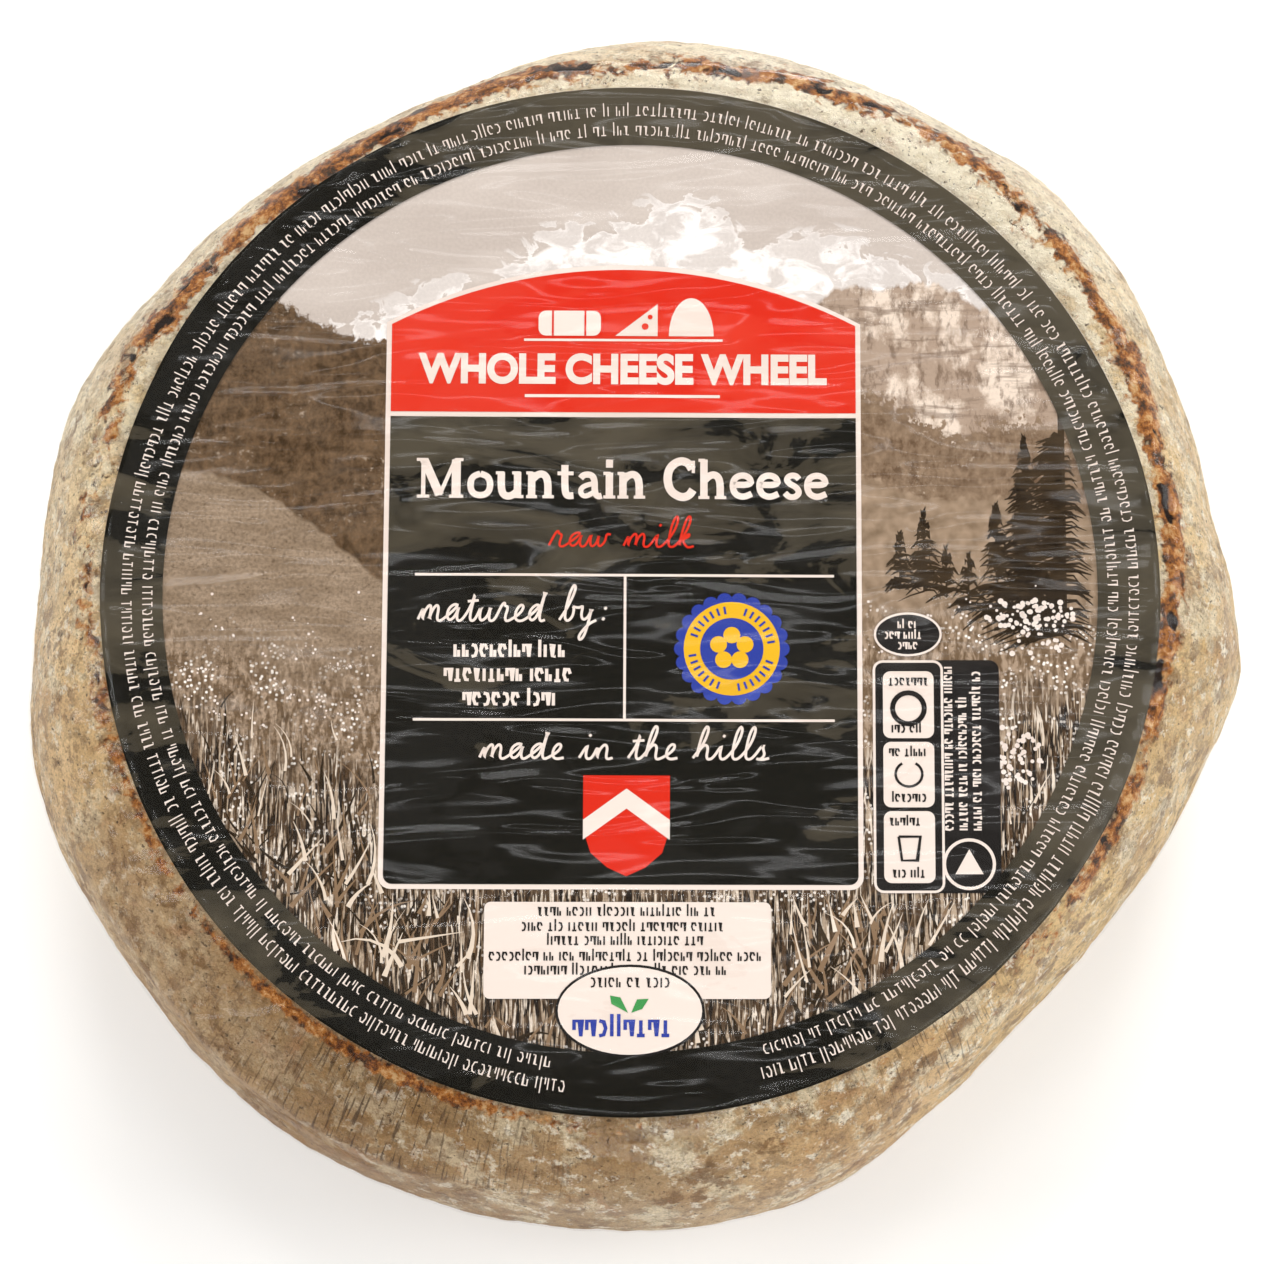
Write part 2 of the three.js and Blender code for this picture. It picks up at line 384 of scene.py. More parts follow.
def makeCheese():
    places = rowsBetween(0, 0.9, 5) + rowsBetween(0.9, 1, 6) + rowsBetween(1, 1.5, 44)
    places += rowsBetween(1.5, 2, 20) + rowsBetween(2, 3, 22) + rowsBetween(3, 4, 5) + [4]
    bm = bentSkin(places, wheel["columns"], ("ridge", "pit", "scored", "dusty", "ochre", "lichen"))
    ground = bm.verts.layers.float_vector.new("ground")
    layer = {item.name: item for item in bm.verts.layers.float.values()}
    for vert in bm.verts:
        place, degrees = vert[layer["place"]], vert[layer["degrees"]]
        point = skinPosition(degrees, place, 0) / mm
        height, ridge, pit = skinMarks(point, degrees, place)
        height *= smoothStep(0.86, 0.95, place) * smoothStep(3.25, 2.9, place)
        fromAxis = (point.x - axisX, point.y - axisY)
        besideLabel = math.dist(fromAxis, rind["stainMiddle"]) - rind["stainRadius"]
        around = max(near(degrees, 238, 26), near(degrees, 332, 12), 0.7 * near(degrees, 205, 14))
        stain = math.exp(-((besideLabel / rind["stainWidth"]) ** 2)) * around
        vert[layer["ridge"]] = max(ridge, 0.68 * stain)
        vert[layer["pit"]] = pit
        drift = 16 * noise.noise(point / 26)
        vert[ground] = [part(degrees + drift) for part in groundParts]
        inside = smoothStep(1, -1.5, math.hypot(*fromAxis) - ridgeRadius(degrees))
        dusty = max(near(degrees, 60, 62), 0.6 * near(degrees, 140, 30))
        vert[layer["dusty"]] = dusty * (0.35 + 0.65 * inside)
        vert[layer["lichen"]] = 1 - 0.8 * near(degrees, 226, 30)
        vert[layer["ochre"]] = max(near(degrees, 172, 34), 0.8 * near(degrees, 262, 28), 0.5)
        scored = max(near(degrees, 244, 19), 0.8 * near(degrees, 303, 11))
        vert[layer["scored"]] = scored if place < 1.7 else 0
        vert.co = skinPosition(degrees, place, height)
    closeSkin(bm)
    return finishPiece("cheeseWheelRind", bm, [rindMaterial()], "cheese_wheel")


def toneScale(tree, value, stops):
    # a colour ramp from a mask to a scale of colours
    ramp = addNode(tree, "ValToRGB", links={0: value})
    elements = ramp.color_ramp.elements
    while len(elements) < len(stops):
        elements.new(0.5)
    for element, (position, colour) in zip(elements, stops):
        element.position = position
        element.color = srgb(colour)
    return ramp.outputs[0]


def rindMaterial():
    # dry natural rind, brushed by hand while it ripened: floury mould over ochre and taupe ground,
    # worn to orange brown and near black along the rim, with painted shade darkening its pits and pin pits
    material, tree = newMaterial("naturalRindBrushed")
    at = addNode(tree, "TexCoord").outputs["Object"]
    marks = {
        name: addNode(tree, "Attribute", {"attribute_name": name}).outputs["Fac"]
        for name in ("ridge", "pit", "scored", "dusty", "ochre", "lichen", "degrees", "place")
    }
    ground = addNode(tree, "Attribute", {"attribute_name": "ground"}).outputs["Color"]
    crust = patches(tree, at, 2.4, 7, 0.72, 0.1)
    pale = mottle(tree, at, 8, 0.51, 0.56, detail=14, rough=0.74)
    clean = combine(tree, "SUBTRACT", 1, times(tree, marks["dusty"], 0.75))
    paler = mottle(tree, at, 3.4, 0.56, 0.61, detail=12, rough=0.72)
    brown = mottle(tree, at, 7, 0.54, 0.59, detail=14, rough=0.74)
    grime = mottle(tree, at, 3.2, 0.5, 0.56, detail=12, rough=0.75)
    spots = mottle(tree, at, 2.4, 0.58, 0.62, detail=9, rough=0.7)
    soft = mottle(tree, at, 15, 0.42, 0.62, detail=5, warp=0.5)
    freckle = mottle(tree, at, 1.9, 0.56, 0.63, detail=8, rough=0.7)
    flour = mottle(tree, at, 2.8, 0.44, 0.52, detail=9, rough=0.7)
    grain = mottle(tree, at, 0.45, 0.44, 0.6, detail=2)
    # dark pin pits: painted shade in tiny holes that the mesh does not have
    pinPitShade = mottle(tree, at, 1.0, 0.61, 0.65, detail=6, rough=0.65)
    blush = mottle(tree, at, 11, 0.57, 0.66, detail=7, warp=0.8)

    # fine scratches that run outwards over the side
    around, along = times(tree, marks["degrees"], 3.4), times(tree, marks["place"], 5)
    polar = addNode(tree, "CombineXYZ", links={0: around, 1: along})
    scratch = addNode(tree, "TexNoise", {"Scale": 1, "Detail": 2}, {"Vector": polar.outputs[0]})
    thin = between(tree, scratch.outputs[0], 0.56, 0.64)

    frayed = mottle(tree, at, 1.7, 0.3, 0.7, detail=8, warp=0.5)
    rough = times(tree, frayed, 0.6)
    worn = between(tree, combine(tree, "ADD", marks["ridge"], rough), 0.5, 0.72)
    # painted shade: the pits dug along the rim are coloured near black
    pitShade = between(tree, combine(tree, "ADD", marks["pit"], rough), 0.6, 0.85)
    wornStops = [(0.4, "#301807"), (0.47, "#7d4212"), (0.54, "#b87028"), (0.63, "#dcb078")]
    wornTone = toneScale(tree, crust, wornStops)
    colour = paintLayers(
        tree,
        ground,
        [
            ("#a87c46", soft, 0.42, clean),
            ("#b07d58", blush, 0.4),
            ("#f1e2c0", pale, 0.7, marks["lichen"]),
            ("#764f26", brown, 0.7, clean),
            ("#6a4b2a", grime, 0.42, clean),
            ("#a2703a", freckle, marks["ochre"], 0.5),
            ("#fdf3dc", paler, 0.8, marks["lichen"]),
            ("#6b4218", spots, marks["ochre"], 0.7),
            ("#f9ecd0", flour, marks["dusty"]),
            ("#5f472a", grain, 0.24, clean),
            ("#4a331b", pinPitShade, 0.85),
            ("#4b3520", thin, marks["scored"], 0.8),
            (wornTone, worn, 0.95),
            ("#211207", pitShade),
        ],
    )
    flecks = combine(tree, "ADD", times(tree, flour, 0.1), times(tree, grain, 0.07))
    relief = combine(tree, "ADD", crust, flecks)
    matteSurface(tree, colour, 0.85, 0.2, bumpOf(tree, relief, 1.7))
    return material


makeCheese()
print("cheese made")

# The label's drawing is laid out flat in millimetres from its centre, then laid over the cheese.
frontLabel = {
    "diameter": 167.5,
    "shift": (-1.5, -0.7),
    "turn": -0.25,
    "lift": 0.7,
    "grid": 1.5,
    "waveHeight": 0.27,
    "waveSize": (24, 5.5),
    "inkStep": 0.045,
    "ringInner": 74.0,
    "ringOuter": 83.68,
    "panel": (-38.8, 37.1, -47.1, 45.1),
    "archTop": 54.9,
    "headerFoot": 29.9,
    "corner": 2.0,
    "border": 0.8,
    "artShift": (-0.4, -1.1),
}


def arcTable():
    # how far along the skin each place is from the middle of the top face, for each whole degree
    places = rowsBetween(0, 1, 8) + rowsBetween(1, 2, 60) + [2]
    table = []
    for degrees in range(360):
        ends = [sectionPoint(degrees, place)[:2] for place in places]
        lengths = [0]
        for start, end in zip(ends, ends[1:]):
            lengths.append(lengths[-1] + math.dist(start, end))
        table.append(lengths)
    return places, table


arcPlaces, arcLengths = arcTable()


def placeAlong(degrees, distance):
    # the place in the section that lies at a distance measured along the skin
    low = math.floor(degrees)
    found = []
    for whole in (low % 360, (low + 1) % 360):
        lengths = arcLengths[whole]
        i = min(max(bisect.bisect_left(lengths, distance), 1), len(lengths) - 1)
        share = (distance - lengths[i - 1]) / (lengths[i] - lengths[i - 1])
        found.append(arcPlaces[i - 1] + (arcPlaces[i] - arcPlaces[i - 1]) * share)
    share = degrees - low
    return found[0] * (1 - share) + found[1] * share


labelTurn = Matrix.Rotation(math.radians(frontLabel["turn"]), 2)


def fromWheelAxis(x, y):
    return labelTurn @ Vector((x, y)) + Vector(frontLabel["shift"])


def paperWave(x, y):
    # long low ripples across the paper and the film over it
    acrossSize, upSize = frontLabel["waveSize"]
    bend = noise.noise((x / 45, y / 45, 5.0)) * 6
    ripple = noise.noise((x / acrossSize, (y + bend) / upSize, 0.0))
    broad = noise.noise((x / 40, y / 26, 9.0))
    return frontLabel["waveHeight"] * (0.6 * ripple + 0.7 * broad)


def labelPosition(x, y, lift):
    spot = fromWheelAxis(x, y)
    degrees = math.degrees(math.atan2(spot.y, spot.x))
    place = placeAlong(degrees, spot.length)
    return skinPosition(degrees, place, frontLabel["lift"] + paperWave(x, y) + lift)


def sheenUnderFilm(x, y):
    # how far the film stands off the print, and so how much painted film reflection greys the black:
    # on the ring least at the upper left and the foot, on the panel most over the title
    if math.hypot(x, y) > frontLabel["ringInner"] - 1:
        degrees = math.degrees(math.atan2(y, x))
        dark = max(near(degrees, 143, 30), near(degrees, 262, 32), 0.5 * near(degrees, 205, 25))
        return 0.85 - 0.8 * dark
    clinging = near(y * 4, -130, 60)  # two darker bands, 90 mm apart
    return 0.34 + 0.26 * smoothStep(-25, 22, y) - 0.12 * clinging


class Sheet:
    # flat shapes of one ink, in millimetres on the label
    def __init__(self):
        self.bm = bmesh.new()

    def filled(self, outline, level):
        verts = [self.bm.verts.new((x, y, level)) for x, y in outline]
        bmesh.ops.contextual_create(self.bm, geom=verts)

    def disc(self, x, y, radius, level, segments=32, squash=1.0):
        placed = Matrix.Translation((x, y, level)) @ Matrix.Diagonal((1, squash, 1, 1))
        bmesh.ops.create_circle(self.bm, cap_ends=True, segments=segments, radius=radius, matrix=placed)

    def ribbon(self, path, width, level, closed=False, taper=0):
        # a strip of squares drawn along the path like the flat of a pen
        points = [Vector(point) for point in path]
        if closed:
            points.append(points[0])
        last = len(points) - 1
        strip = bmesh.new()
        bmesh.ops.create_grid(strip, x_segments=last, y_segments=1, size=1)
        for vert in strip.verts:
            i = round((vert.co.x + 1) / 2 * last)
            before = points[i - 1] if i else points[-2] if closed else points[0]
            after = points[i + 1] if i < last else points[1] if closed else points[last]
            along = (after - before).normalized()
            inward = (points[i] - before).normalized() if points[i] != before else along
            widen = width / 2 / max(0.5, along.dot(inward)) * (1 - taper * i / last)
            side = Vector((-along.y, along.x)) * widen * vert.co.y
            vert.co = (*(points[i] + side), level)
        mesh = bpy.data.meshes.new("strip")
        strip.to_mesh(mesh)
        strip.free()
        self.bm.from_mesh(mesh)
        bpy.data.meshes.remove(mesh)

    def words(self, text, x, y, width, height, level, weight=0.0):
        # one line of built-in type, stretched to fit a box whose lower left corner is x, y
        curve = bpy.data.curves.new("line", "FONT")
        curve.body = text
        curve.offset = weight
        item = bpy.data.objects.new("line", curve)
        mesh = bpy.data.meshes.new_from_object(item)
        lows = [min(v.co[k] for v in mesh.vertices) for k in (0, 1)]
        highs = [max(v.co[k] for v in mesh.vertices) for k in (0, 1)]
        fit = Matrix.Diagonal((width / (highs[0] - lows[0]), height / (highs[1] - lows[1]), 1, 1))
        toCorner = Matrix.Translation((-lows[0], -lows[1], 0))
        mesh.transform(Matrix.Translation((x, y, level)) @ fit @ toCorner)
        self.bm.from_mesh(mesh)
        bpy.data.objects.remove(item)
        bpy.data.curves.remove(curve)
        bpy.data.meshes.remove(mesh)

    def piece(self, name, material, slotName="printed_paper", stands=None, thickness=0):
        bm = self.bm
        # how much painted film reflection each point of the ink gets
        filmSheenLayer = bm.verts.layers.float.new("filmSheen")
        reach = int(frontLabel["diameter"] / 2 / frontLabel["grid"])
        for number in range(-reach, reach + 1):
            for normal in ((1, 0, 0), (0, 1, 0)):
                at = Vector(normal) * number * frontLabel["grid"]
                geometry = bm.verts[:] + bm.edges[:] + bm.faces[:]
                bmesh.ops.bisect_plane(bm, geom=geometry, dist=1e-5, plane_co=at, plane_no=normal)
        for vert in bm.verts:
            vert[filmSheenLayer] = sheenUnderFilm(vert.co.x, vert.co.y)
            vert.co = labelPosition(vert.co.x, vert.co.y, vert.co.z * frontLabel["inkStep"])
        bmesh.ops.remove_doubles(bm, verts=bm.verts[:], dist=2e-6)
        for face in bm.faces:
            face.normal_update()
            if face.normal.z < 0:
                face.normal_flip()
        if thickness:  # the paper's own edge shows, cut square
            bmesh.ops.solidify(bm, geom=bm.faces[:], thickness=thickness * mm)
        return finishPiece(name, bm, [material], stands)


def arc(radius, start, end, steps):
    angles = [math.radians(start + (end - start) * i / steps) for i in range(steps + 1)]
    return [(radius * math.cos(a), radius * math.sin(a)) for a in angles]


def ovalArc(x, y, wide, high, start, end, steps):
    # part of an oval round a middle, wide and high being its half sizes
    return [(x + wide * px, y + high * py) for px, py in arc(1, start, end, steps)]


def roundedBox(left, right, bottom, top, corner, steps=5):
    corners = (
        (right - corner, top - corner, 0),
        (left + corner, top - corner, 90),
        (left + corner, bottom + corner, 180),
        (right - corner, bottom + corner, 270),
    )
    outline = []
    for x, y, start in corners:
        outline += ovalArc(x, y, corner, corner, start, start + 90, steps)
    return outline


def archedBox(left, right, bottom, shoulder, top, corner, steps=28):
    # a box with rounded lower corners and a low arch for its top edge
    middle = (left + right) / 2
    half = (right - left) / 2
    rise = top - shoulder
    radius = (half**2 + rise**2) / (2 * rise)
    reach = math.degrees(math.asin(half / radius))
    crown = [(middle + x, top - radius + y) for x, y in arc(radius, 90 - reach, 90 + reach, steps)]
    leftCorner = [(left + corner + x, bottom + corner + y) for x, y in arc(corner, 180, 270, 5)]
    rightCorner = [(right - corner + x, bottom + corner + y) for x, y in arc(corner, 270, 360, 5)]
    return crown + leftCorner + rightCorner


# the span of the printed landscape, and the tops of its layers from the label's centre
landscape = {
    "span": 150,
    "snow": [(-75, 44), (-40, 46), (-33, 50), (-22, 53), (-12, 60), (-3, 61), (3, 64), (8, 66.5), (13, 64),
             (19, 59), (28, 58), (34, 58.5), (46, 53), (60, 50), (75, 46)],
    "cliff": [(-75, 5), (20, 20), (28, 47), (36, 50.5), (43, 52), (50, 51), (56, 47.5), (61, 42), (66, 36),
              (75, 30)],
    "cliffFoot": [(-75, 0), (30, 35), (38, 33), (46, 29), (52, 26), (60, 28), (75, 24)],
    "rightSlope": [(-75, -20), (30, 21), (45, 16), (60, 15), (75, 12)],
    "leftHill": [(-75, 53), (-58, 49), (-52, 45.5), (-44, 42), (-38, 41), (-10, 20), (20, -20),
                 (75, -75)],
    "leftSlope": [(-75, 20.5), (-68, 19.4), (-60, 17), (-52, 12), (-46, 7.5), (-38, 1), (-20, -6),
                  (20, -30), (75, -75)],
    "meadow": [(-75, -2), (-60, -5), (-40, -9), (30, -3), (45, 0), (60, 1), (75, 2)],
    "grass": [(-75, -14), (-60, -20), (-40, -27), (0, -40), (30, -28), (45, -18), (60, -14), (75, -10)],
}


def underLine(tree, across, up, heights, jag, jagHeight, soft):
    # a mask of everything below a line across the label, roughened by a jagged mask
    span = landscape["span"]
    line = addNode(tree, "FloatCurve", links={"Value": across})
    curve = line.mapping.curves[0]
    places = [(x / span + 0.5, y / span + 0.5) for x, y in heights]
    curve.points[0].location = places[0]
    curve.points[1].location = places[-1]
    for x, y in places[1:-1]:
        curve.points.new(x, y)
    line.mapping.update()
    rough = times(tree, combine(tree, "SUBTRACT", jag, 0.5), jagHeight / span)
    over = combine(tree, "SUBTRACT", combine(tree, "ADD", line.outputs[0], rough), up)
    return between(tree, over, 0, soft / span)


def bladesOfGrass(tree, at, turn, width, height, low, high):
    # narrow upright strokes, leaning by a turn
    lean = {"Rotation": (0, 0, math.radians(turn)), "Scale": (1, width / height, 0)}
    leant = addNode(tree, "Mapping", lean, {"Vector": at}).outputs[0]
    return between(tree, patches(tree, leant, width, 2.5, 0.6, 0.35), low, high)


def landscapePaper():
    # coated label paper, printed in sepia halftone and varnished: a soft sheen over warm greys
    material, tree = newMaterial("coatedPaperSepiaPrint")
    span = landscape["span"] * mm
    centre = skinPosition(*centreOfLabel, 0)
    at = addNode(tree, "TexCoord").outputs["Object"]
    frameOfPrint = {
        "Location": (0.5 - centre.x / span, 0.5 - centre.y / span, 0),
        "Scale": (1 / span, 1 / span, 0),
    }
    place = addNode(tree, "Mapping", frameOfPrint, {"Vector": at})
    parts = addNode(tree, "SeparateXYZ", links={"Vector": place.outputs[0]})
    across, up = parts.outputs[0], parts.outputs[1]
    flat = stretched(tree, at, (1, 1, 0))

    coarse = mottle(tree, flat, 9, 0.3, 0.7, detail=6)
    fine = mottle(tree, flat, 2.2, 0.3, 0.7, detail=5)
    crag = mottle(tree, flat, 7, 0.35, 0.75, detail=8, stretch=(1, 0.55, 1), warp=0.6)
    cracks = mottle(tree, flat, 1.6, 0.5, 0.62, detail=9, stretch=(1, 0.4, 1), rough=0.7)
    ledges = mottle(tree, flat, 2.2, 0.53, 0.62, detail=6, stretch=(0.16, 1, 1), warp=0.25, rough=0.6)
    lit = mottle(tree, flat, 7, 0.46, 0.56, detail=8, stretch=(1, 0.7, 1), rough=0.65)
    shade = mottle(tree, flat, 4.5, 0.44, 0.56, detail=9, stretch=(0.8, 1.2, 1), warp=0.9)
    trees = mottle(tree, flat, 1.5, 0.4, 0.62, detail=8, stretch=(1, 0.7, 1), rough=0.7)
    sparkle = mottle(tree, flat, 1.1, 0.56, 0.64, detail=6, rough=0.75)
    groves = mottle(tree, flat, 13, 0.5, 0.6, detail=5)
    furrows = mottle(tree, flat, 3.5, 0.42, 0.62, detail=7, stretch=(0.35, 1.3, 1), rough=0.65)
    cloud = mottle(tree, flat, 34, 0.42, 0.68, detail=4, stretch=(0.55, 1.3, 1))

    sky = paintLayers(tree, "#b9aca2", [("#cfc3b9", cloud)])
    snow = paintLayers(tree, "#efe8e3", [("#a99c92", shade, 0.6), ("#e2d8d0", crag, 0.35)])
    rockTones = [("#ddcab8", lit), ("#6a5442", cracks, 0.75), ("#6f5a49", ledges, 0.6)]
    rock = paintLayers(tree, "#a58f7c", rockTones)
    woodTones = [("#6a5138", trees), ("#7d644b", furrows, 0.4), ("#b39e88", sparkle, groves)]
    wood = paintLayers(tree, "#38260f", woodTones)
    rightTones = [("#8d755e", trees), ("#8a735c", furrows, 0.5), ("#b8a48e", sparkle, groves)]
    rightWood = paintLayers(tree, "#5c4530", rightTones)
    lowSlope = paintLayers(tree, "#75604a", [("#a38b73", fine)])
    slope = paintLayers(tree, "#85705a", [("#a8927b", furrows, 0.6), ("#55412d", sparkle, 0.5)])

    # the meadow: tufts and small flowers far off, crossing blades near the foot
    tufts = bladesOfGrass(tree, flat, 8, 0.9, 2.4, 0.44, 0.6)
    cells = {"voronoi_dimensions": "2D", "Scale": 1 / (1.1 * mm)}
    flowerSpots = addNode(tree, "TexVoronoi", cells, {"Vector": flat}).outputs["Distance"]
    someFlowers = mottle(tree, flat, 6, 0.5, 0.6, detail=4)
    flowers = times(tree, between(tree, flowerSpots, 0.24, 0.16), someFlowers)
    meadowTones = [("#a28b74", tufts), ("#4a3724", sparkle, 0.6), ("#efe6dc", flowers)]
    meadow = paintLayers(tree, "#6a543d", meadowTones)
    grassTones = [
        ("#191007", bladesOfGrass(tree, flat, -14, 0.75, 6, 0.47, 0.55)),
        ("#7a6651", bladesOfGrass(tree, flat, 30, 0.4, 4, 0.58, 0.66)),
        ("#ab967f", bladesOfGrass(tree, flat, 12, 0.6, 7, 0.54, 0.6)),
        ("#d8c8b6", bladesOfGrass(tree, flat, -32, 0.55, 5, 0.57, 0.62)),
        ("#f3e8dd", flowers, 0.8),
    ]
    grass = paintLayers(tree, "#4c3824", grassTones)
    lines = [
        ("snow", shade, 5, snow),
        ("cliff", crag, 4, rock),
        ("cliffFoot", trees, 4, rightWood),
        ("rightSlope", fine, 2, lowSlope),
        ("leftHill", trees, 1.6, wood),
        ("leftSlope", fine, 1.0, slope),
        ("meadow", coarse, 9, meadow),
        ("grass", coarse, 12, grass),
    ]
    layers = []
    for name, jag, jagHeight, tone in lines:
        soft = 9 if name in ("meadow", "grass") else 0.7
        layers.append((tone, underLine(tree, across, up, landscape[name], jag, jagHeight, soft)))
    grit = mottle(tree, flat, 0.55, 0.44, 0.56, detail=4, rough=0.7)
    below = underLine(tree, across, up, landscape["leftHill"], trees, 1.6, 0.7)
    gritShare = combine(tree, "ADD", times(tree, below, 0.22), 0.06)
    colour = paintLayers(tree, sky, layers + [("#2c1e10", grit, gritShare)])
    fibre = mottle(tree, at, 0.5, 0.3, 0.7)
    matteSurface(tree, colour, 0.55, 0.12, bumpOf(tree, fibre, 0.05, 0.15))
    return material


def printingInk(name, colour, sheenTone, roughness=0.5):
    # offset ink under varnish: deep where the film clings to it; where the film stands off, its
    # reflection is painted into the ink as a grey sheen in wandering patches
    material, tree = newMaterial(name)
    at = addNode(tree, "TexCoord").outputs["Object"]
    filmSheen = addNode(tree, "Attribute", {"attribute_name": "filmSheen"}).outputs["Fac"]
    drift = mottle(tree, at, 17, 0.3, 0.7, detail=9, warp=0.8, stretch=(0.7, 1.6, 1), rough=0.62)
    # painted reflection: the ink is mixed towards its sheen tone where the film stands off it
    over = combine(tree, "SUBTRACT", filmSheen, drift)
    cloud = between(tree, over, -0.01, 0.03)
    sheenStrength = combine(tree, "ADD", times(tree, between(tree, over, 0.05, 0.4), 0.5), 0.5)
    grain = mottle(tree, at, 0.7, 0.3, 0.7)
    tone = paintLayers(tree, colour, [(sheenTone, cloud, sheenStrength), (sheenTone, grain, 0.1)])
    matteSurface(tree, tone, roughness, 0.05)
    return material


def serifs(*bars):
    # thin level strokes, each from one place across to another at a height
    return [(0.1, (start, height), (end, height)) for start, end, height in bars]


# pen strokes of the title's letters: x-height 1, capitals 1.5; each is width and points, and the
# last number is how far the next letter starts
shoulder = (0.23, (0.24, 0.72), (0.42, 0.9), (0.64, 0.92), (0.8, 0.7), (0.8, 0))
feet = ((0, 0.4, 0.05), (0.6, 1.02, 0.05))
titleLetters = {
    "M": ([(0.13, (0.25, 0), (0.25, 1.45)), (0.27, (0.27, 1.45), (0.86, 0.1)),
           (0.12, (0.86, 0.1), (1.42, 1.45)), (0.28, (1.46, 0), (1.46, 1.45)),
           *serifs((0.02, 0.48, 0.05), (1.2, 1.72, 0.05), (0, 0.36, 1.45), (1.4, 1.72, 1.45))], 1.85),
    "C": ([(0.26, (1.12, 1.12), (0.98, 1.38), (0.66, 1.46), (0.3, 1.2), (0.2, 0.75), (0.32, 0.28),
            (0.7, 0.04), (1.0, 0.1), (1.16, 0.34)), (0.1, (1.17, 0.98), (1.17, 1.45))], 1.36),
    "o": ([(0.2, (0.5, 0.92), (0.2, 0.8), (0.12, 0.5), (0.2, 0.18), (0.5, 0.07), (0.8, 0.18),
            (0.88, 0.5), (0.8, 0.8), (0.5, 0.92))], 1.07),
    "u": ([(0.23, (0.2, 0.98), (0.2, 0.3), (0.32, 0.08), (0.56, 0.06), (0.78, 0.24)),
           (0.23, (0.8, 0.98), (0.8, 0)),
           *serifs((0, 0.3, 0.95), (0.6, 0.9, 0.95), (0.8, 1.02, 0.05))], 1.12),
    "n": ([(0.23, (0.2, 0), (0.2, 0.98)), shoulder, *serifs((0, 0.24, 0.95), *feet)], 1.12),
    "h": ([(0.23, (0.2, 0), (0.2, 1.5)), shoulder, *serifs((0, 0.24, 1.47), *feet)], 1.12),
    "t": ([(0.22, (0.3, 1.26), (0.3, 0.3), (0.38, 0.08), (0.62, 0.1)),
           (0.12, (0.03, 0.94), (0.62, 0.94))], 0.74),
    "a": ([(0.2, (0.14, 0.76), (0.26, 0.9), (0.54, 0.9), (0.66, 0.7), (0.66, 0.2), (0.78, 0.06),
            (0.92, 0.1)),
           (0.16, (0.62, 0.56), (0.34, 0.5), (0.14, 0.36), (0.16, 0.14), (0.34, 0.06),
            (0.62, 0.22))], 0.98),
    "i": ([(0.23, (0.22, 0), (0.22, 0.98)), *serifs((0, 0.26, 0.95), (0, 0.44, 0.05)),
           (0.26, (0.09, 1.32), (0.35, 1.32))], 0.52),
    "e": ([(0.2, (0.16, 0.54), (0.82, 0.54), (0.78, 0.8), (0.52, 0.92), (0.22, 0.82), (0.12, 0.5),
            (0.22, 0.18), (0.52, 0.06), (0.84, 0.2))], 0.98),
    "s": ([(0.19, (0.62, 0.76), (0.5, 0.9), (0.28, 0.9), (0.15, 0.74), (0.28, 0.58), (0.52, 0.46),
            (0.64, 0.26), (0.5, 0.08), (0.26, 0.07), (0.1, 0.24))], 0.78),
    " ": ([], 0.5),
}


def softened(points, rounds=2):
    # the same path with its corners cut
    for _ in range(rounds):
        cut = [points[0]]
        for (ax, ay), (bx, by) in zip(points, points[1:]):
            cut += [(ax + (bx - ax) * share, ay + (by - ay) * share) for share in (0.25, 0.75)]
        points = cut + [points[-1]]
    return points


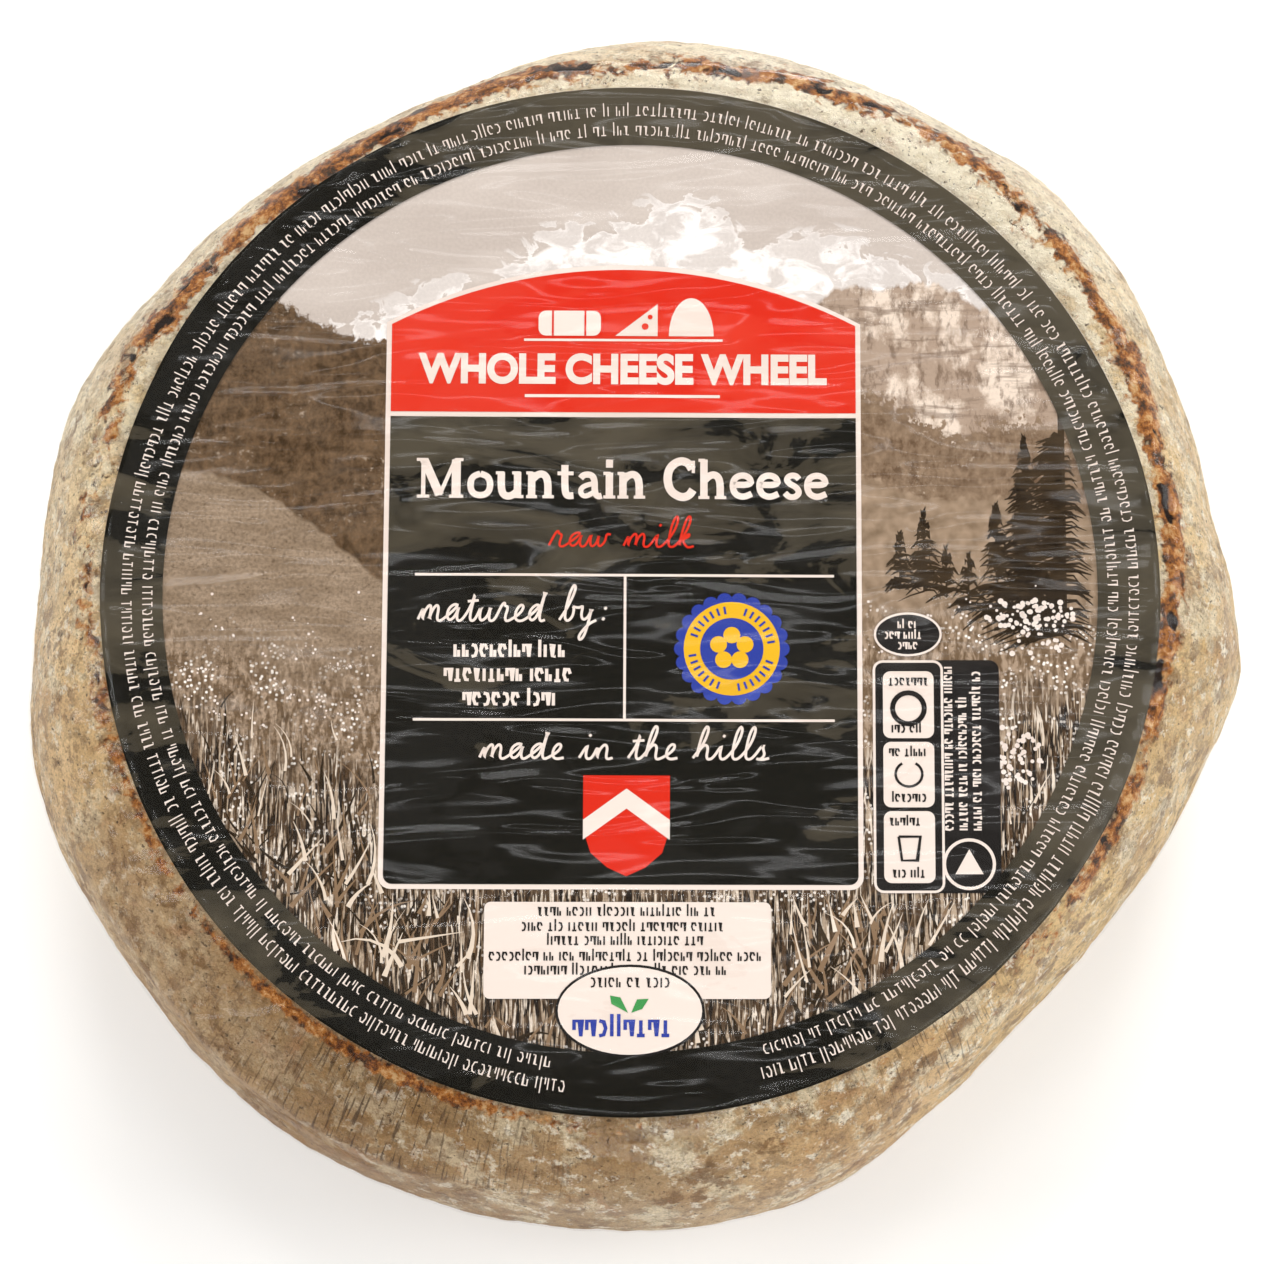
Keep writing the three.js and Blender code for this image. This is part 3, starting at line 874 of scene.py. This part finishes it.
# joined script letters, each from where the last one ended; x-height 1
scriptLetters = {
    "a": [(0.62, 0.9), (0.4, 1), (0.16, 0.75), (0.14, 0.3), (0.34, 0.03), (0.58, 0.35), (0.64, 0.95),
          (0.62, 0.3), (0.74, 0.02), (0.95, 0.12)],
    "b": [(0.3, 0.9), (0.5, 1.9), (0.36, 2.15), (0.22, 1.6), (0.2, 0.3), (0.4, 0.02), (0.62, 0.3),
          (0.6, 0.8), (0.52, 0.88), (0.85, 0.8)],
    "d": [(0.6, 0.9), (0.38, 1), (0.14, 0.7), (0.14, 0.28), (0.34, 0.03), (0.58, 0.4), (0.72, 2.1),
          (0.62, 0.4), (0.74, 0.02), (0.95, 0.12)],
    "e": [(0.4, 0.5), (0.5, 0.85), (0.34, 1), (0.16, 0.7), (0.16, 0.25), (0.36, 0.02), (0.7, 0.12)],
    "h": [(0.36, 1), (0.48, 1.9), (0.34, 2.15), (0.2, 1.6), (0.14, 0), (0.2, 0.6), (0.42, 0.98),
          (0.6, 0.8), (0.6, 0.2), (0.7, 0.02), (0.92, 0.12)],
    "i": [(0.28, 0.98), (0.26, 0.3), (0.38, 0.02), (0.6, 0.12)],
    "k": [(0.36, 1), (0.48, 1.9), (0.34, 2.15), (0.2, 1.6), (0.14, 0), (0.18, 0.5), (0.5, 0.98),
          (0.56, 0.75), (0.24, 0.52), (0.5, 0.1), (0.62, 0.02), (0.85, 0.12)],
    "l": [(0.36, 0.9), (0.5, 1.8), (0.38, 2.15), (0.22, 1.6), (0.22, 0.3), (0.36, 0.02), (0.6, 0.12)],
    "m": [(0.16, 0.9), (0.2, 0), (0.24, 0.6), (0.42, 0.97), (0.54, 0.75), (0.54, 0), (0.58, 0.6),
          (0.76, 0.97), (0.9, 0.75), (0.9, 0.2), (1.02, 0.02), (1.22, 0.12)],
    "n": [(0.16, 0.9), (0.2, 0), (0.24, 0.6), (0.44, 0.97), (0.6, 0.75), (0.6, 0.2), (0.7, 0.02),
          (0.92, 0.12)],
    "r": [(0.18, 0.95), (0.3, 1.1), (0.34, 0.9), (0.52, 0.85), (0.46, 0.25), (0.56, 0.02), (0.78, 0.12)],
    "s": [(0.34, 1), (0.38, 0.7), (0.52, 0.32), (0.34, 0.02), (0.1, 0.12), (0.42, 0.02), (0.74, 0.12)],
    "t": [(0.28, 0.9), (0.36, 1.75), (0.3, 0.4), (0.4, 0.02), (0.62, 0.12)],
    "u": [(0.16, 0.95), (0.16, 0.25), (0.32, 0.02), (0.56, 0.3), (0.62, 0.95), (0.62, 0.25), (0.74, 0.02),
          (0.95, 0.12)],
    "w": [(0.14, 0.95), (0.16, 0.25), (0.3, 0.02), (0.48, 0.3), (0.5, 0.9), (0.52, 0.25), (0.66, 0.02),
          (0.86, 0.4), (0.84, 0.9), (1.05, 0.85)],
    "y": [(0.16, 0.95), (0.16, 0.35), (0.34, 0.1), (0.56, 0.35), (0.62, 0.95), (0.56, -0.7), (0.36, -1.05),
          (0.24, -0.75), (0.6, -0.1), (0.95, 0.12)],
}
# strokes put in after the word is joined up
scriptExtras = {
    "i": [[(0.27, 1.42), (0.33, 1.56)]],
    "t": [[(0.06, 1.14), (0.58, 1.2)]],
    ":": [[(0.3, 0.12), (0.36, 0.26)], [(0.3, 0.72), (0.36, 0.86)]],
}


def scriptWords(sheet, text, x, y, width, height, level, weight):
    # a line of joined, leaning handwriting, fitted to a width
    wordGap, lean = 0.7, 0.2
    strokes = []
    across = 0
    for word in text.split():
        path = [(across, 0.12)]
        for letter in word:
            start = path[-1][0]
            path += [(start + px, py) for px, py in scriptLetters.get(letter, [])]
            for extra in scriptExtras.get(letter, []):
                strokes.append([(start + px, py) for px, py in extra])
        strokes.append(path)
        across = path[-1][0] + wordGap
    size = width / (across - wordGap)
    for path in strokes:
        soft = softened(path) if len(path) > 2 else path
        placed = [(x + px * size + lean * py * height, y + py * height) for px, py in soft]
        sheet.ribbon(placed, weight, level)


def serifWords(sheet, text, x, y, width, level):
    size = width / (sum(titleLetters[letter][1] for letter in text) - 0.1)
    for letter in text:
        strokes, advance = titleLetters[letter]
        for number, (weight, *points) in enumerate(strokes):
            path = softened(points) if len(points) > 2 else points
            placed = [(x + px * size, y + py * size) for px, py in path]
            sheet.ribbon(placed, weight * size * 1.18, level + number * 0.02)
        x += advance * size


# marks that stand for small print: width, then paths, in a box as high as a small letter
printMarks = {
    "post": (0.26, [[(0.13, 0), (0.13, 0.5), (0.13, 1)]]),
    "tallPost": (0.26, [[(0.13, 0), (0.13, 0.7), (0.13, 1.4)]]),
    "ring": (0.62, [[(0.56, 0.6), (0.44, 0.95), (0.16, 0.95), (0.06, 0.5), (0.2, 0.1), (0.44, 0.1)]]),
    "bow": (0.56, [[(0.08, 0.97), (0.36, 0.9), (0.48, 0.5), (0.36, 0.1), (0.08, 0.03)]]),
    "gate": (0.62, [[(0.1, 0.4), (0.1, 0.96), (0.52, 0.96), (0.52, 0)]]),
    "foot": (0.56, [[(0.28, 1), (0.28, 0.05)], [(0.04, 0.05), (0.52, 0.05)]]),
    "step": (0.56, [[(0.04, 0.95), (0.28, 0.95), (0.28, 0.05), (0.52, 0.05)]]),
    "pair": (0.5, [[(0.1, 0), (0.1, 1)], [(0.38, 0), (0.38, 0.55)]]),
}


def greekLine(sheet, x, y, width, height, level, seed, weight, place=None):
    # unreadable small print: words of a few marks taken by chance
    chance = random.Random(seed)
    place = place or (lambda px, py: (px, py))
    kinds = list(printMarks)
    at = 0
    while at < width - height:
        for _ in range(chance.randint(2, 9)):
            wide, paths = printMarks[chance.choice(kinds)]
            if at + wide * height > width:
                return
            for path in paths:
                placed = [place(x + at + px * height, y + py * height) for px, py in path]
                sheet.ribbon(placed, weight, level)
            at += (wide + 0.17) * height
        at += height * 0.45


def greekBlock(sheet, middle, height, level, weight, lines):
    # lines of small print about one middle, each given by its foot, width and seed
    for foot, wide, seed in lines:
        greekLine(sheet, middle - wide / 2, foot, wide, height, level, seed, weight)


def roundPlace(radius, start):
    # lays a line of small print round the label, its foot on a circle, reading clockwise
    def place(px, py):
        angle = math.radians(start) - px / radius
        return ((radius + py) * math.cos(angle), (radius + py) * math.sin(angle))

    return place


def makeFrontLabel():
    look = frontLabel
    left, right, bottom, shoulder = look["panel"]
    paper, black, white, red = Sheet(), Sheet(), Sheet(), Sheet()
    gold, blue, green, dark = Sheet(), Sheet(), Sheet(), Sheet()
    paper.disc(0, 0, look["diameter"] / 2, 0, segments=240)

    # arched panel: white border, red header, black body
    edge, split = look["border"], look["headerFoot"]
    white.filled(archedBox(left, right, bottom, shoulder, look["archTop"], look["corner"]), 1)
    innerBox = (left + edge, right - edge, bottom + edge, shoulder - 0.3)
    inside = archedBox(*innerBox, look["archTop"] - edge, look["corner"] - 0.6)
    headerEdge = [(x, split + 0.4) for x in innerBox[:2]]
    bodyEdge = [(x, split - 0.4) for x in innerBox[1::-1]]
    red.filled([(x, max(y, split + 0.4)) for x, y in inside if y > 20] + headerEdge, 2)
    black.filled([(x, y) for x, y in inside if y < 20] + bodyEdge, 2)

    # header: three plain cheeses on a shelf, a line of capitals, a short rule
    shelf = 43.0
    white.filled([(-16.8, 42.1), (15, 42.1), (15, 42.5), (-16.8, 42.5)], 3)
    white.filled(roundedBox(-14.5, -4.5, shelf, 47.2, 1.2), 3)
    white.filled([(-2.2, shelf), (4.6, shelf), (4.6, 48.4)], 3)
    white.filled(ovalArc(10.0, shelf, 3.6, 6.4, 0, 180, 16), 3)
    red.disc(2.6, 44.6, 0.55, 4, 14)
    red.disc(3.4, 46.2, 0.4, 4, 14)
    for x in (-12.2, -7.0):
        red.ribbon([(x, shelf), (x, 47.2)], 0.3, 4)
    textLeft, textWidth = -33.7, 65.4
    white.words("WHOLE CHEESE WHEEL", textLeft, 34.9, textWidth, 5.2, 3, weight=0.045)
    white.ribbon([(-16.6, 33.0), (14.6, 33.0)], 0.5, 3)

    # body: title, red script, rules, small print, rosette, white script and a shield
    serifWords(white, "Mountain Cheese", textLeft, 16.1, textWidth, 3)
    scriptWords(red, "raw milk", -12.6, 8.0, 23, 2.5, 3, 0.36)
    for height in (3.5, -20.0):
        white.ribbon([(textLeft, height), (32.7, height)], 0.42, 3)
    white.ribbon([(-0.4, 3.3), (-0.4, -19.8)], 0.42, 3)
    scriptWords(white, "matured by:", -33.2, -4.2, 28.2, 2.9, 3, 0.42)
    greekBlock(white, -17.4, 2.0, 3, 0.5, ((-9.9, 20, 11), (-13.8, 23, 12), (-17.7, 17, 13)))
    scriptWords(white, "made in the hills", -23.2, -26.4, 45.5, 2.6, 3, 0.42)
    makeRosette(gold, blue, 16.5, -8.4)
    half = [(6.8, -28.9), (6.8, -37.5), (5.6, -41.3), (3.0, -43.6), (0, -45.0)]
    red.filled([(-x, y) for x, y in half] + half[-2::-1], 3)
    for side in (-6.8, 6.8):
        white.filled([(side, -39.2), (side, -36.0), (0, -31.0), (0, -34.2)], 4)

    # white box and oval of small dark print at the foot
    white.filled(roundedBox(-22.1, 22.6, -64.4, -49.1, 1.0), 3)
    footLines = ((-51.3, 28, 21), (-53.7, 33, 22), (-55.9, 25, 23), (-58.4, 43, 24), (-60.6, 32, 25))
    greekBlock(dark, 0.2, 1.35, 4, 0.27, footLines)
    dark.disc(0.7, -66.3, 11.6, 4, 48, squash=0.63)
    white.disc(0.7, -66.3, 11.2, 5, 48, squash=0.615)
    greekLine(dark, -5.5, -62.6, 12.5, 1.5, 6, 26, 0.26)
    green.filled([(0.4, -66.6), (-2.2, -65.2), (-2.4, -63.9), (-0.8, -64.2)], 6)
    green.filled([(0.9, -66.6), (2.6, -66.0), (3.6, -64.4), (1.8, -64.5)], 6)
    greekLine(blue, -8.2, -70.3, 18, 2.5, 6, 27, 0.55)

    makeSideColumn(white, dark)
    makeUmbels(white)
    meadowTones = (Sheet(), Sheet(), Sheet())
    makeMeadow(meadowTones, white)
    makeTrees(meadowTones[0])
    for sheet in (black, white, red, gold, blue, green, dark, *meadowTones):
        bmesh.ops.translate(sheet.bm, verts=sheet.bm.verts[:], vec=(*look["artShift"], 0))

    # black band round the edge, with two rounds of small print
    ringMiddle = (look["ringInner"] + look["ringOuter"]) / 2
    ringWidth = look["ringOuter"] - look["ringInner"]
    black.ribbon(arc(ringMiddle, 0, 358.5, 239), ringWidth, 3.5, closed=True)
    for radius, start, length, seed in ((78.9, 263, 466, 3), (75.6, 261, 444, 4)):
        greekLine(white, 0, 0, length, 1.6, 5.5, seed, 0.19, place=roundPlace(radius, start))

    paper.piece("frontLabelPaper", landscapePaper(), stands="front_label", thickness=0.25)
    # each ink's own colour, then the tone that its painted film reflection greys it towards
    inks = (
        (meadowTones[0], "MeadowDark", "halftoneSepiaDark", "#2a1f12", "#3f3120"),
        (meadowTones[1], "MeadowMiddle", "halftoneSepiaMiddle", "#7f664d", "#947a62"),
        (meadowTones[2], "MeadowPale", "halftoneSepiaPale", "#d2c0ac", "#e6d7c6"),
        (black, "BlackPrint", "offsetInkBlack", "#0c0b06", "#4a4336"),
        (white, "WhitePrint", "unprintedPaperWhite", "#decfc4", "#d6c5b9"),
        (red, "RedPrint", "offsetInkRed", "#c92714", "#cd3421"),
        (gold, "GoldPrint", "offsetInkGold", "#dba922", "#cf9d1e"),
        (blue, "BluePrint", "offsetInkBlue", "#2b3a8f", "#3a4aa0"),
        (green, "GreenPrint", "offsetInkGreen", "#3f8a4a", "#4d9a55"),
        (dark, "DarkPrint", "offsetInkSmallPrint", "#1d1a18", "#2c2825"),
    )
    for sheet, name, ink, colour, sheenTone in inks:
        sheet.piece("frontLabel" + name, printingInk(ink, colour, sheenTone))


def makeRosette(gold, blue, x, y):
    # a scalloped rosette with a plain five-petalled flower in its middle
    for px, py in ovalArc(x, y, 7.9, 7.9, 0, 360, 22)[1:]:
        blue.disc(px, py, 1.25, 3, 12)
    blue.disc(x, y, 8.2, 3.5, 44)
    gold.disc(x, y, 7.6, 4, 44)
    blue.disc(x, y, 5.0, 5, 40)
    for px, py in ovalArc(x, y, 2.2, 2.2, 18, 378, 5)[1:]:
        gold.disc(px, py, 1.35, 6, 16)
    rays = zip(ovalArc(x, y, 5.7, 5.7, 0, 360, 36), ovalArc(x, y, 6.9, 6.9, 0, 360, 36))
    for k, ray in enumerate(rays):
        if k % 9 not in (0, 8):
            blue.ribbon(ray, 0.35, 5)


def makeSideColumn(white, dark):
    # small oval, framed column of three boxes, upright small print and a round mark
    middle = 44.3
    dark.disc(middle, -6.0, 5.4, 3, 36, squash=0.65)
    white.ribbon(ovalArc(middle, -6.0, 5.2, 3.4, 0, 350, 35), 0.35, 4, closed=True)
    greekBlock(white, middle, 1.1, 4, 0.25, ((-5.0, 3.2, 31), (-6.7, 7.4, 32), (-8.4, 3.2, 33)))
    dark.filled(roundedBox(38.9, 58.6, -47.6, -10.2, 1.6), 2)
    white.ribbon(roundedBox(38.9, 49.6, -47.4, -10.4, 1.4), 0.4, 3, closed=True)
    for top, low, seed in ((-12.0, -22.8, 41), (-23.4, -33.9, 43), (-34.5, -46.0, 45)):
        white.filled(roundedBox(40.3, 48.3, low, top, 1.2), 3)
        greekBlock(dark, middle, 1.2, 4, 0.27, ((top - 2.3, 6.2, seed), (low + 0.9, 5.4, seed + 1)))
    dark.ribbon(ovalArc(middle, -18.0, 2.5, 2.5, 0, 345, 23), 0.8, 4, closed=True)
    dark.ribbon(ovalArc(middle, -28.6, 2.1, 2.0, 120, 420, 18), 0.4, 4)
    dark.ribbon([(42.6, -38.6), (43.1, -42.4), (45.5, -42.4), (46.0, -38.6), (42.6, -38.6)], 0.4, 4)

    def upright(px, py):
        return (-py, px)

    for x, wide, seed in ((-51.2, 27, 51), (-53.4, 22, 52), (-55.6, 26.5, 53)):
        greekLine(white, -37.6, x, wide, 1.25, 3, seed, 0.28, place=upright)
    white.ribbon(ovalArc(53.6, -43.0, 3.9, 3.9, 0, 350, 35), 0.5, 3, closed=True)
    white.filled([(51.4, -44.6), (55.8, -44.6), (53.6, -40.6)], 3)


def openGround(x, y):
    # true where the landscape shows: inside the band and clear of the panel and boxes
    left, right, bottom, shoulder = frontLabel["panel"]
    clearOfPanel = x < left - 0.4 or x > right + 0.4 or y < bottom - 0.4
    clearOfBox = not (-23.5 < x < 24 and -65.5 < y < -48)
    clearOfColumn = not (37 < x < 59.5 and -48.5 < y < -9)
    withinRing = math.hypot(x, y) < frontLabel["ringInner"]
    return withinRing and clearOfPanel and clearOfBox and clearOfColumn


def makeMeadow(tones, white):
    # blades of grass in three tones, nearer ones longer, and scattered small flowers
    chance = random.Random(17)
    for _ in range(2200):
        x, y = chance.uniform(-74, 74), chance.uniform(-74, -6)
        depth = smoothStep(-18 if x < 0 else -20, -60, y)
        if depth <= 0:
            continue
        if chance.random() > 0.1 + depth * 1.3 or not openGround(x, y):
            continue
        length = chance.uniform(3, 7) + 8 * depth * chance.random()
        lean, bend = chance.gauss(0, 24), chance.gauss(0, 22)
        path = [(x, y)]
        for k in range(5):
            turn = math.radians(90 + lean + bend * k / 4)
            px, py = path[-1]
            path.append((px + length / 5 * math.cos(turn), py + length / 5 * math.sin(turn)))
        while len(path) > 2 and not openGround(*path[-1]):
            path.pop()
        if len(path) > 2:
            tone = chance.choices((0, 1, 2), (8, 4, 3))[0]
            width = chance.uniform(0.3, 0.75) * (0.7 + 0.5 * depth)
            tones[tone].ribbon(path, width, 0.3 + 0.25 * tone + 0.15 * chance.random(), taper=0.9)
    for _ in range(900):
        x, y = chance.uniform(-73, 73), chance.gauss(-13, 6)
        thick = noise.noise((x / 7, y / 4, 3.0)) > 0.05
        if thick and openGround(x, y) and y < 2:
            white.disc(x, y, chance.uniform(0.1, 0.26), 1.2, 6)


def makeTrees(shade):
    # firs on the right: a tall ragged one by the band and small ones on the slope
    chance = random.Random(23)
    firs = ((69, -6, 44, 13), (63, -5, 31, 8), (58.5, -4, 19, 6), (47.0, 1, 13, 5), (43.2, 1.5, 9, 4),
            (50.5, 0, 8, 4), (54, -2, 9, 4))
    for x, foot, high, wide in firs:
        shade.ribbon([(x, foot), (x, foot + high)], wide * 0.08, 0.3)
        for _ in range(int(high * wide * 1.5)):
            share = chance.random()
            reach = wide * (1 - share) ** 0.8 * chance.uniform(0.25, 1)
            side = chance.choice((-1, 1))
            y = foot + high * share
            ends = (x + side * reach, y - reach * chance.uniform(0.05, 0.6))
            if openGround(*ends) and openGround(x, y):
                middle = ((x + ends[0]) / 2 + side * 0.2, (y + ends[1]) / 2 + chance.uniform(0, 0.9))
                shade.ribbon([(x, y), middle, ends], chance.uniform(0.3, 0.9), 0.4, taper=0.8)


def makeUmbels(white):
    # flat heads of tiny white meadow flowers, standing nearer than the grass
    chance = random.Random(7)
    heads = ((63.5, -2.5, 7.5, 2.6, 90), (59.5, -26.0, 6.0, 5.0, 90), (64, -7, 5, 3, 25))
    for x, y, wide, high, count in heads:
        for _ in range(count):
            a, reach = chance.uniform(0, math.tau), math.sqrt(chance.random())
            dot = chance.uniform(0.22, 0.5)
            white.disc(x + wide * reach * math.cos(a), y + high * reach * math.sin(a), dot, 1, 7)


centreSpot = fromWheelAxis(0, 0)
centreAngle = math.degrees(math.atan2(centreSpot.y, centreSpot.x))
centreOfLabel = (centreAngle, placeAlong(centreAngle, centreSpot.length))
makeFrontLabel()
print("front label made")

film = {
    "overRind": 0.3,
    "overLabel": 0.38,
    "columns": 420,
}


def makeFilm():
    places = rowsBetween(0, 0.8, 40) + rowsBetween(0.8, 1.4, 44) + rowsBetween(1.4, 2, 24)
    places += rowsBetween(2, 3, 26) + rowsBetween(3, 4, 12) + [4]
    bm = bentSkin(places, film["columns"], ())
    placeLayer = bm.verts.layers.float["place"]
    degreesLayer = bm.verts.layers.float["degrees"]
    labelCentre = Vector(frontLabel["shift"])
    back = labelTurn.inverted()
    for vert in bm.verts:
        place, degrees = vert[placeLayer], vert[degreesLayer]
        if place < 2:
            lengths = arcLengths[math.floor(degrees) % 360]
            i = min(bisect.bisect_right(arcPlaces, place) - 1, len(arcPlaces) - 2)
            share = (place - arcPlaces[i]) / (arcPlaces[i + 1] - arcPlaces[i])
            distance = lengths[i] + (lengths[i + 1] - lengths[i]) * share
            angle = math.radians(degrees)
            flat = Vector((distance * math.cos(angle), distance * math.sin(angle)))
            spot = back @ (flat - labelCentre)
            cover = smoothStep(84.6, 82.6, spot.length)
            wave = paperWave(spot.x, spot.y)
        else:
            cover, wave = 0, 0
        point = skinPosition(degrees, place, 0) / mm
        height, ridge, pit = skinMarks(point, degrees, place)
        height += rind["pitDepth"] * pit * 0.8
        height *= smoothStep(0.86, 0.95, place) * smoothStep(3.25, 2.9, place)
        lift = (1 - cover) * (max(height, -0.1) + film["overRind"])
        lift += cover * (frontLabel["lift"] + wave + film["overLabel"])
        vert.co = skinPosition(degrees, place, lift)
        if place > 2:
            base = smoothStep(2.7, 3, place)
            vert.co.z = vert.co.z * (1 - base) + 0.05 * mm * base
    closeSkin(bm)
    return finishPiece("shrinkFilmSkin", bm, [filmMaterial()], "shrink_film")


def filmMaterial():
    # clear polyolefin film, heat shrunk: almost unseen but for the gloss along its fine creases
    # and the faintest bloom where air lies under it
    material, tree = newMaterial("clearPolyolefinFilmShrunk")
    at = addNode(tree, "TexCoord").outputs["Object"]
    contact = mottle(tree, at, 22, 0.5, 0.515, detail=5, warp=1.6, stretch=(1, 1.3, 1))
    filmSheen = addNode(tree, "BsdfDiffuse", {"Color": srgb("#f4efe8")})
    clear = addNode(tree, "BsdfTransparent")
    gloss = addNode(tree, "BsdfGlossy", {"Roughness": 0.12})
    veil = times(tree, contact, 0.004)
    base = addNode(tree, "MixShader", links={0: veil, 1: clear.outputs[0], 2: filmSheen.outputs[0]})
    creases = patches(tree, stretched(tree, at, (0.36, 1.9, 1)), 12, 1, warp=0.8)
    tree.links.new(bumpOf(tree, creases, 2.6), gloss.inputs["Normal"])
    edge = addNode(tree, "Fresnel", {"IOR": 1.23})
    limited = combine(tree, "MINIMUM", edge.outputs[0], 0.1)
    shader = addNode(tree, "MixShader", links={0: limited, 1: base.outputs[0], 2: gloss.outputs[0]})
    addNode(tree, "OutputMaterial", links={"Surface": shader.outputs[0]})
    return material


makeFilm()
print("film made")

backLabel = {
    "box": (-29, 29, -44, -4),
    "corner": 2.5,
    "level": 0.45,
    "thickness": 0.25,
}


def makeBackLabel():
    left, right, bottom, top = backLabel["box"]
    bm = bmesh.new()
    outline = roundedBox(left, right, bottom, top, backLabel["corner"])
    verts = [bm.verts.new((axisX + x, axisY + y, backLabel["level"])) for x, y in outline]
    bmesh.ops.contextual_create(bm, geom=verts)
    bmesh.ops.solidify(bm, geom=bm.faces[:], thickness=-backLabel["thickness"])
    bmesh.ops.scale(bm, verts=bm.verts[:], vec=(mm, mm, mm))
    bmesh.ops.recalc_face_normals(bm, faces=bm.faces[:])
    paper = printingInk("labelPaperUncoated", "#f3efe6", "#e9e3d7", roughness=0.7)
    finishPiece("backLabelPaper", bm, [paper], "back_label", smooth=False)
    sheet = Sheet()
    for row in range(9):
        wide = 50 if row % 4 else 34
        greekLine(sheet, -25, -10 - row * 3.9, wide, 1.7, 0, 60 + row, 0.34)
    bm = sheet.bm
    for vert in bm.verts:
        # mirrored, because it is read from below
        vert.co = Vector((axisX - vert.co.x, axisY + vert.co.y, backLabel["level"] - 0.03)) * mm
    bmesh.ops.recalc_face_normals(bm, faces=bm.faces[:])
    for face in bm.faces:
        if face.normal.z > 0:
            face.normal_flip()
    ink = printingInk("offsetInkBackLabel", "#26231f", "#34302b")
    finishPiece("backLabelPrint", bm, [ink], smooth=False)


makeBackLabel()
print("back label made")

camera = {
    "elevation": 76.5,
    "distance": 800,
    "lens": 136.8,
    "aim": (0.66, -0.64, 29.85),
}


def makeCamera():
    data = bpy.data.cameras.new("camera")
    data.lens = camera["lens"]
    data.sensor_width = 36
    data.clip_start = 0.05
    item = bpy.data.objects.new("camera", data)
    bpy.context.scene.collection.objects.link(item)
    angle = math.radians(camera["elevation"])
    back = Vector((0, -math.cos(angle), math.sin(angle)))
    item.location = (Vector(camera["aim"]) + back * camera["distance"]) * mm
    item.rotation_euler = (math.pi / 2 - angle, 0, 0)
    bpy.context.scene.camera = item


# place, size, power and target, in metres and watts
softboxes = {
    "softboxFront": ((0.15, -1.3, 0.62), (1.0, 0.7), 12.0, (0, 0, 0.03)),
    "softboxLeft": ((-1.3, 0.1, 0.62), (0.8, 0.8), 11.0, (0, 0, 0.03)),
    "softboxRight": ((1.3, 0.1, 0.62), (0.8, 0.8), 12.0, (0, 0, 0.03)),
    "softboxBack": ((0.1, 1.3, 0.75), (1.0, 0.7), 18.5, (0, 0, 0.03)),
    "softboxAbove": ((0.06, 0.36, 1.2), (0.34, 0.12), 1.3, (0.06, 0, 0.06)),
}


def areaLight(name, place, size, power, target):
    data = bpy.data.lights.new(name, "AREA")
    data.shape = "RECTANGLE"
    data.size, data.size_y = size
    data.energy = power
    item = bpy.data.objects.new(name, data)
    bpy.context.scene.collection.objects.link(item)
    item.location = place
    item.rotation_euler = (Vector(place) - Vector(target)).to_track_quat("Z", "Y").to_euler()


def makeStudio():
    scene = bpy.context.scene
    scene.view_settings.view_transform = "Standard"
    world = bpy.data.worlds.new("studio")
    world.use_nodes = True
    world.node_tree.nodes["Background"].inputs[0].default_value = srgb("#ffffff")
    world.node_tree.nodes["Background"].inputs[1].default_value = 0.45
    scene.world = world
    for name, softbox in softboxes.items():
        areaLight(name, *softbox)
    bm = bmesh.new()
    bmesh.ops.create_grid(bm, x_segments=1, y_segments=1, size=3)
    floor = bpy.data.meshes.new("floor")
    bm.to_mesh(floor)
    bm.free()
    material, tree = newMaterial("paleFloor")
    shader = addNode(tree, "BsdfPrincipled", {"Base Color": srgb("#fbfaf8"), "Roughness": 0.9})
    addNode(tree, "OutputMaterial", links={"Surface": shader.outputs[0]})
    floor.materials.append(material)
    item = bpy.data.objects.new("floor", floor)
    scene.collection.objects.link(item)


makeCamera()
makeStudio()
print("studio made")
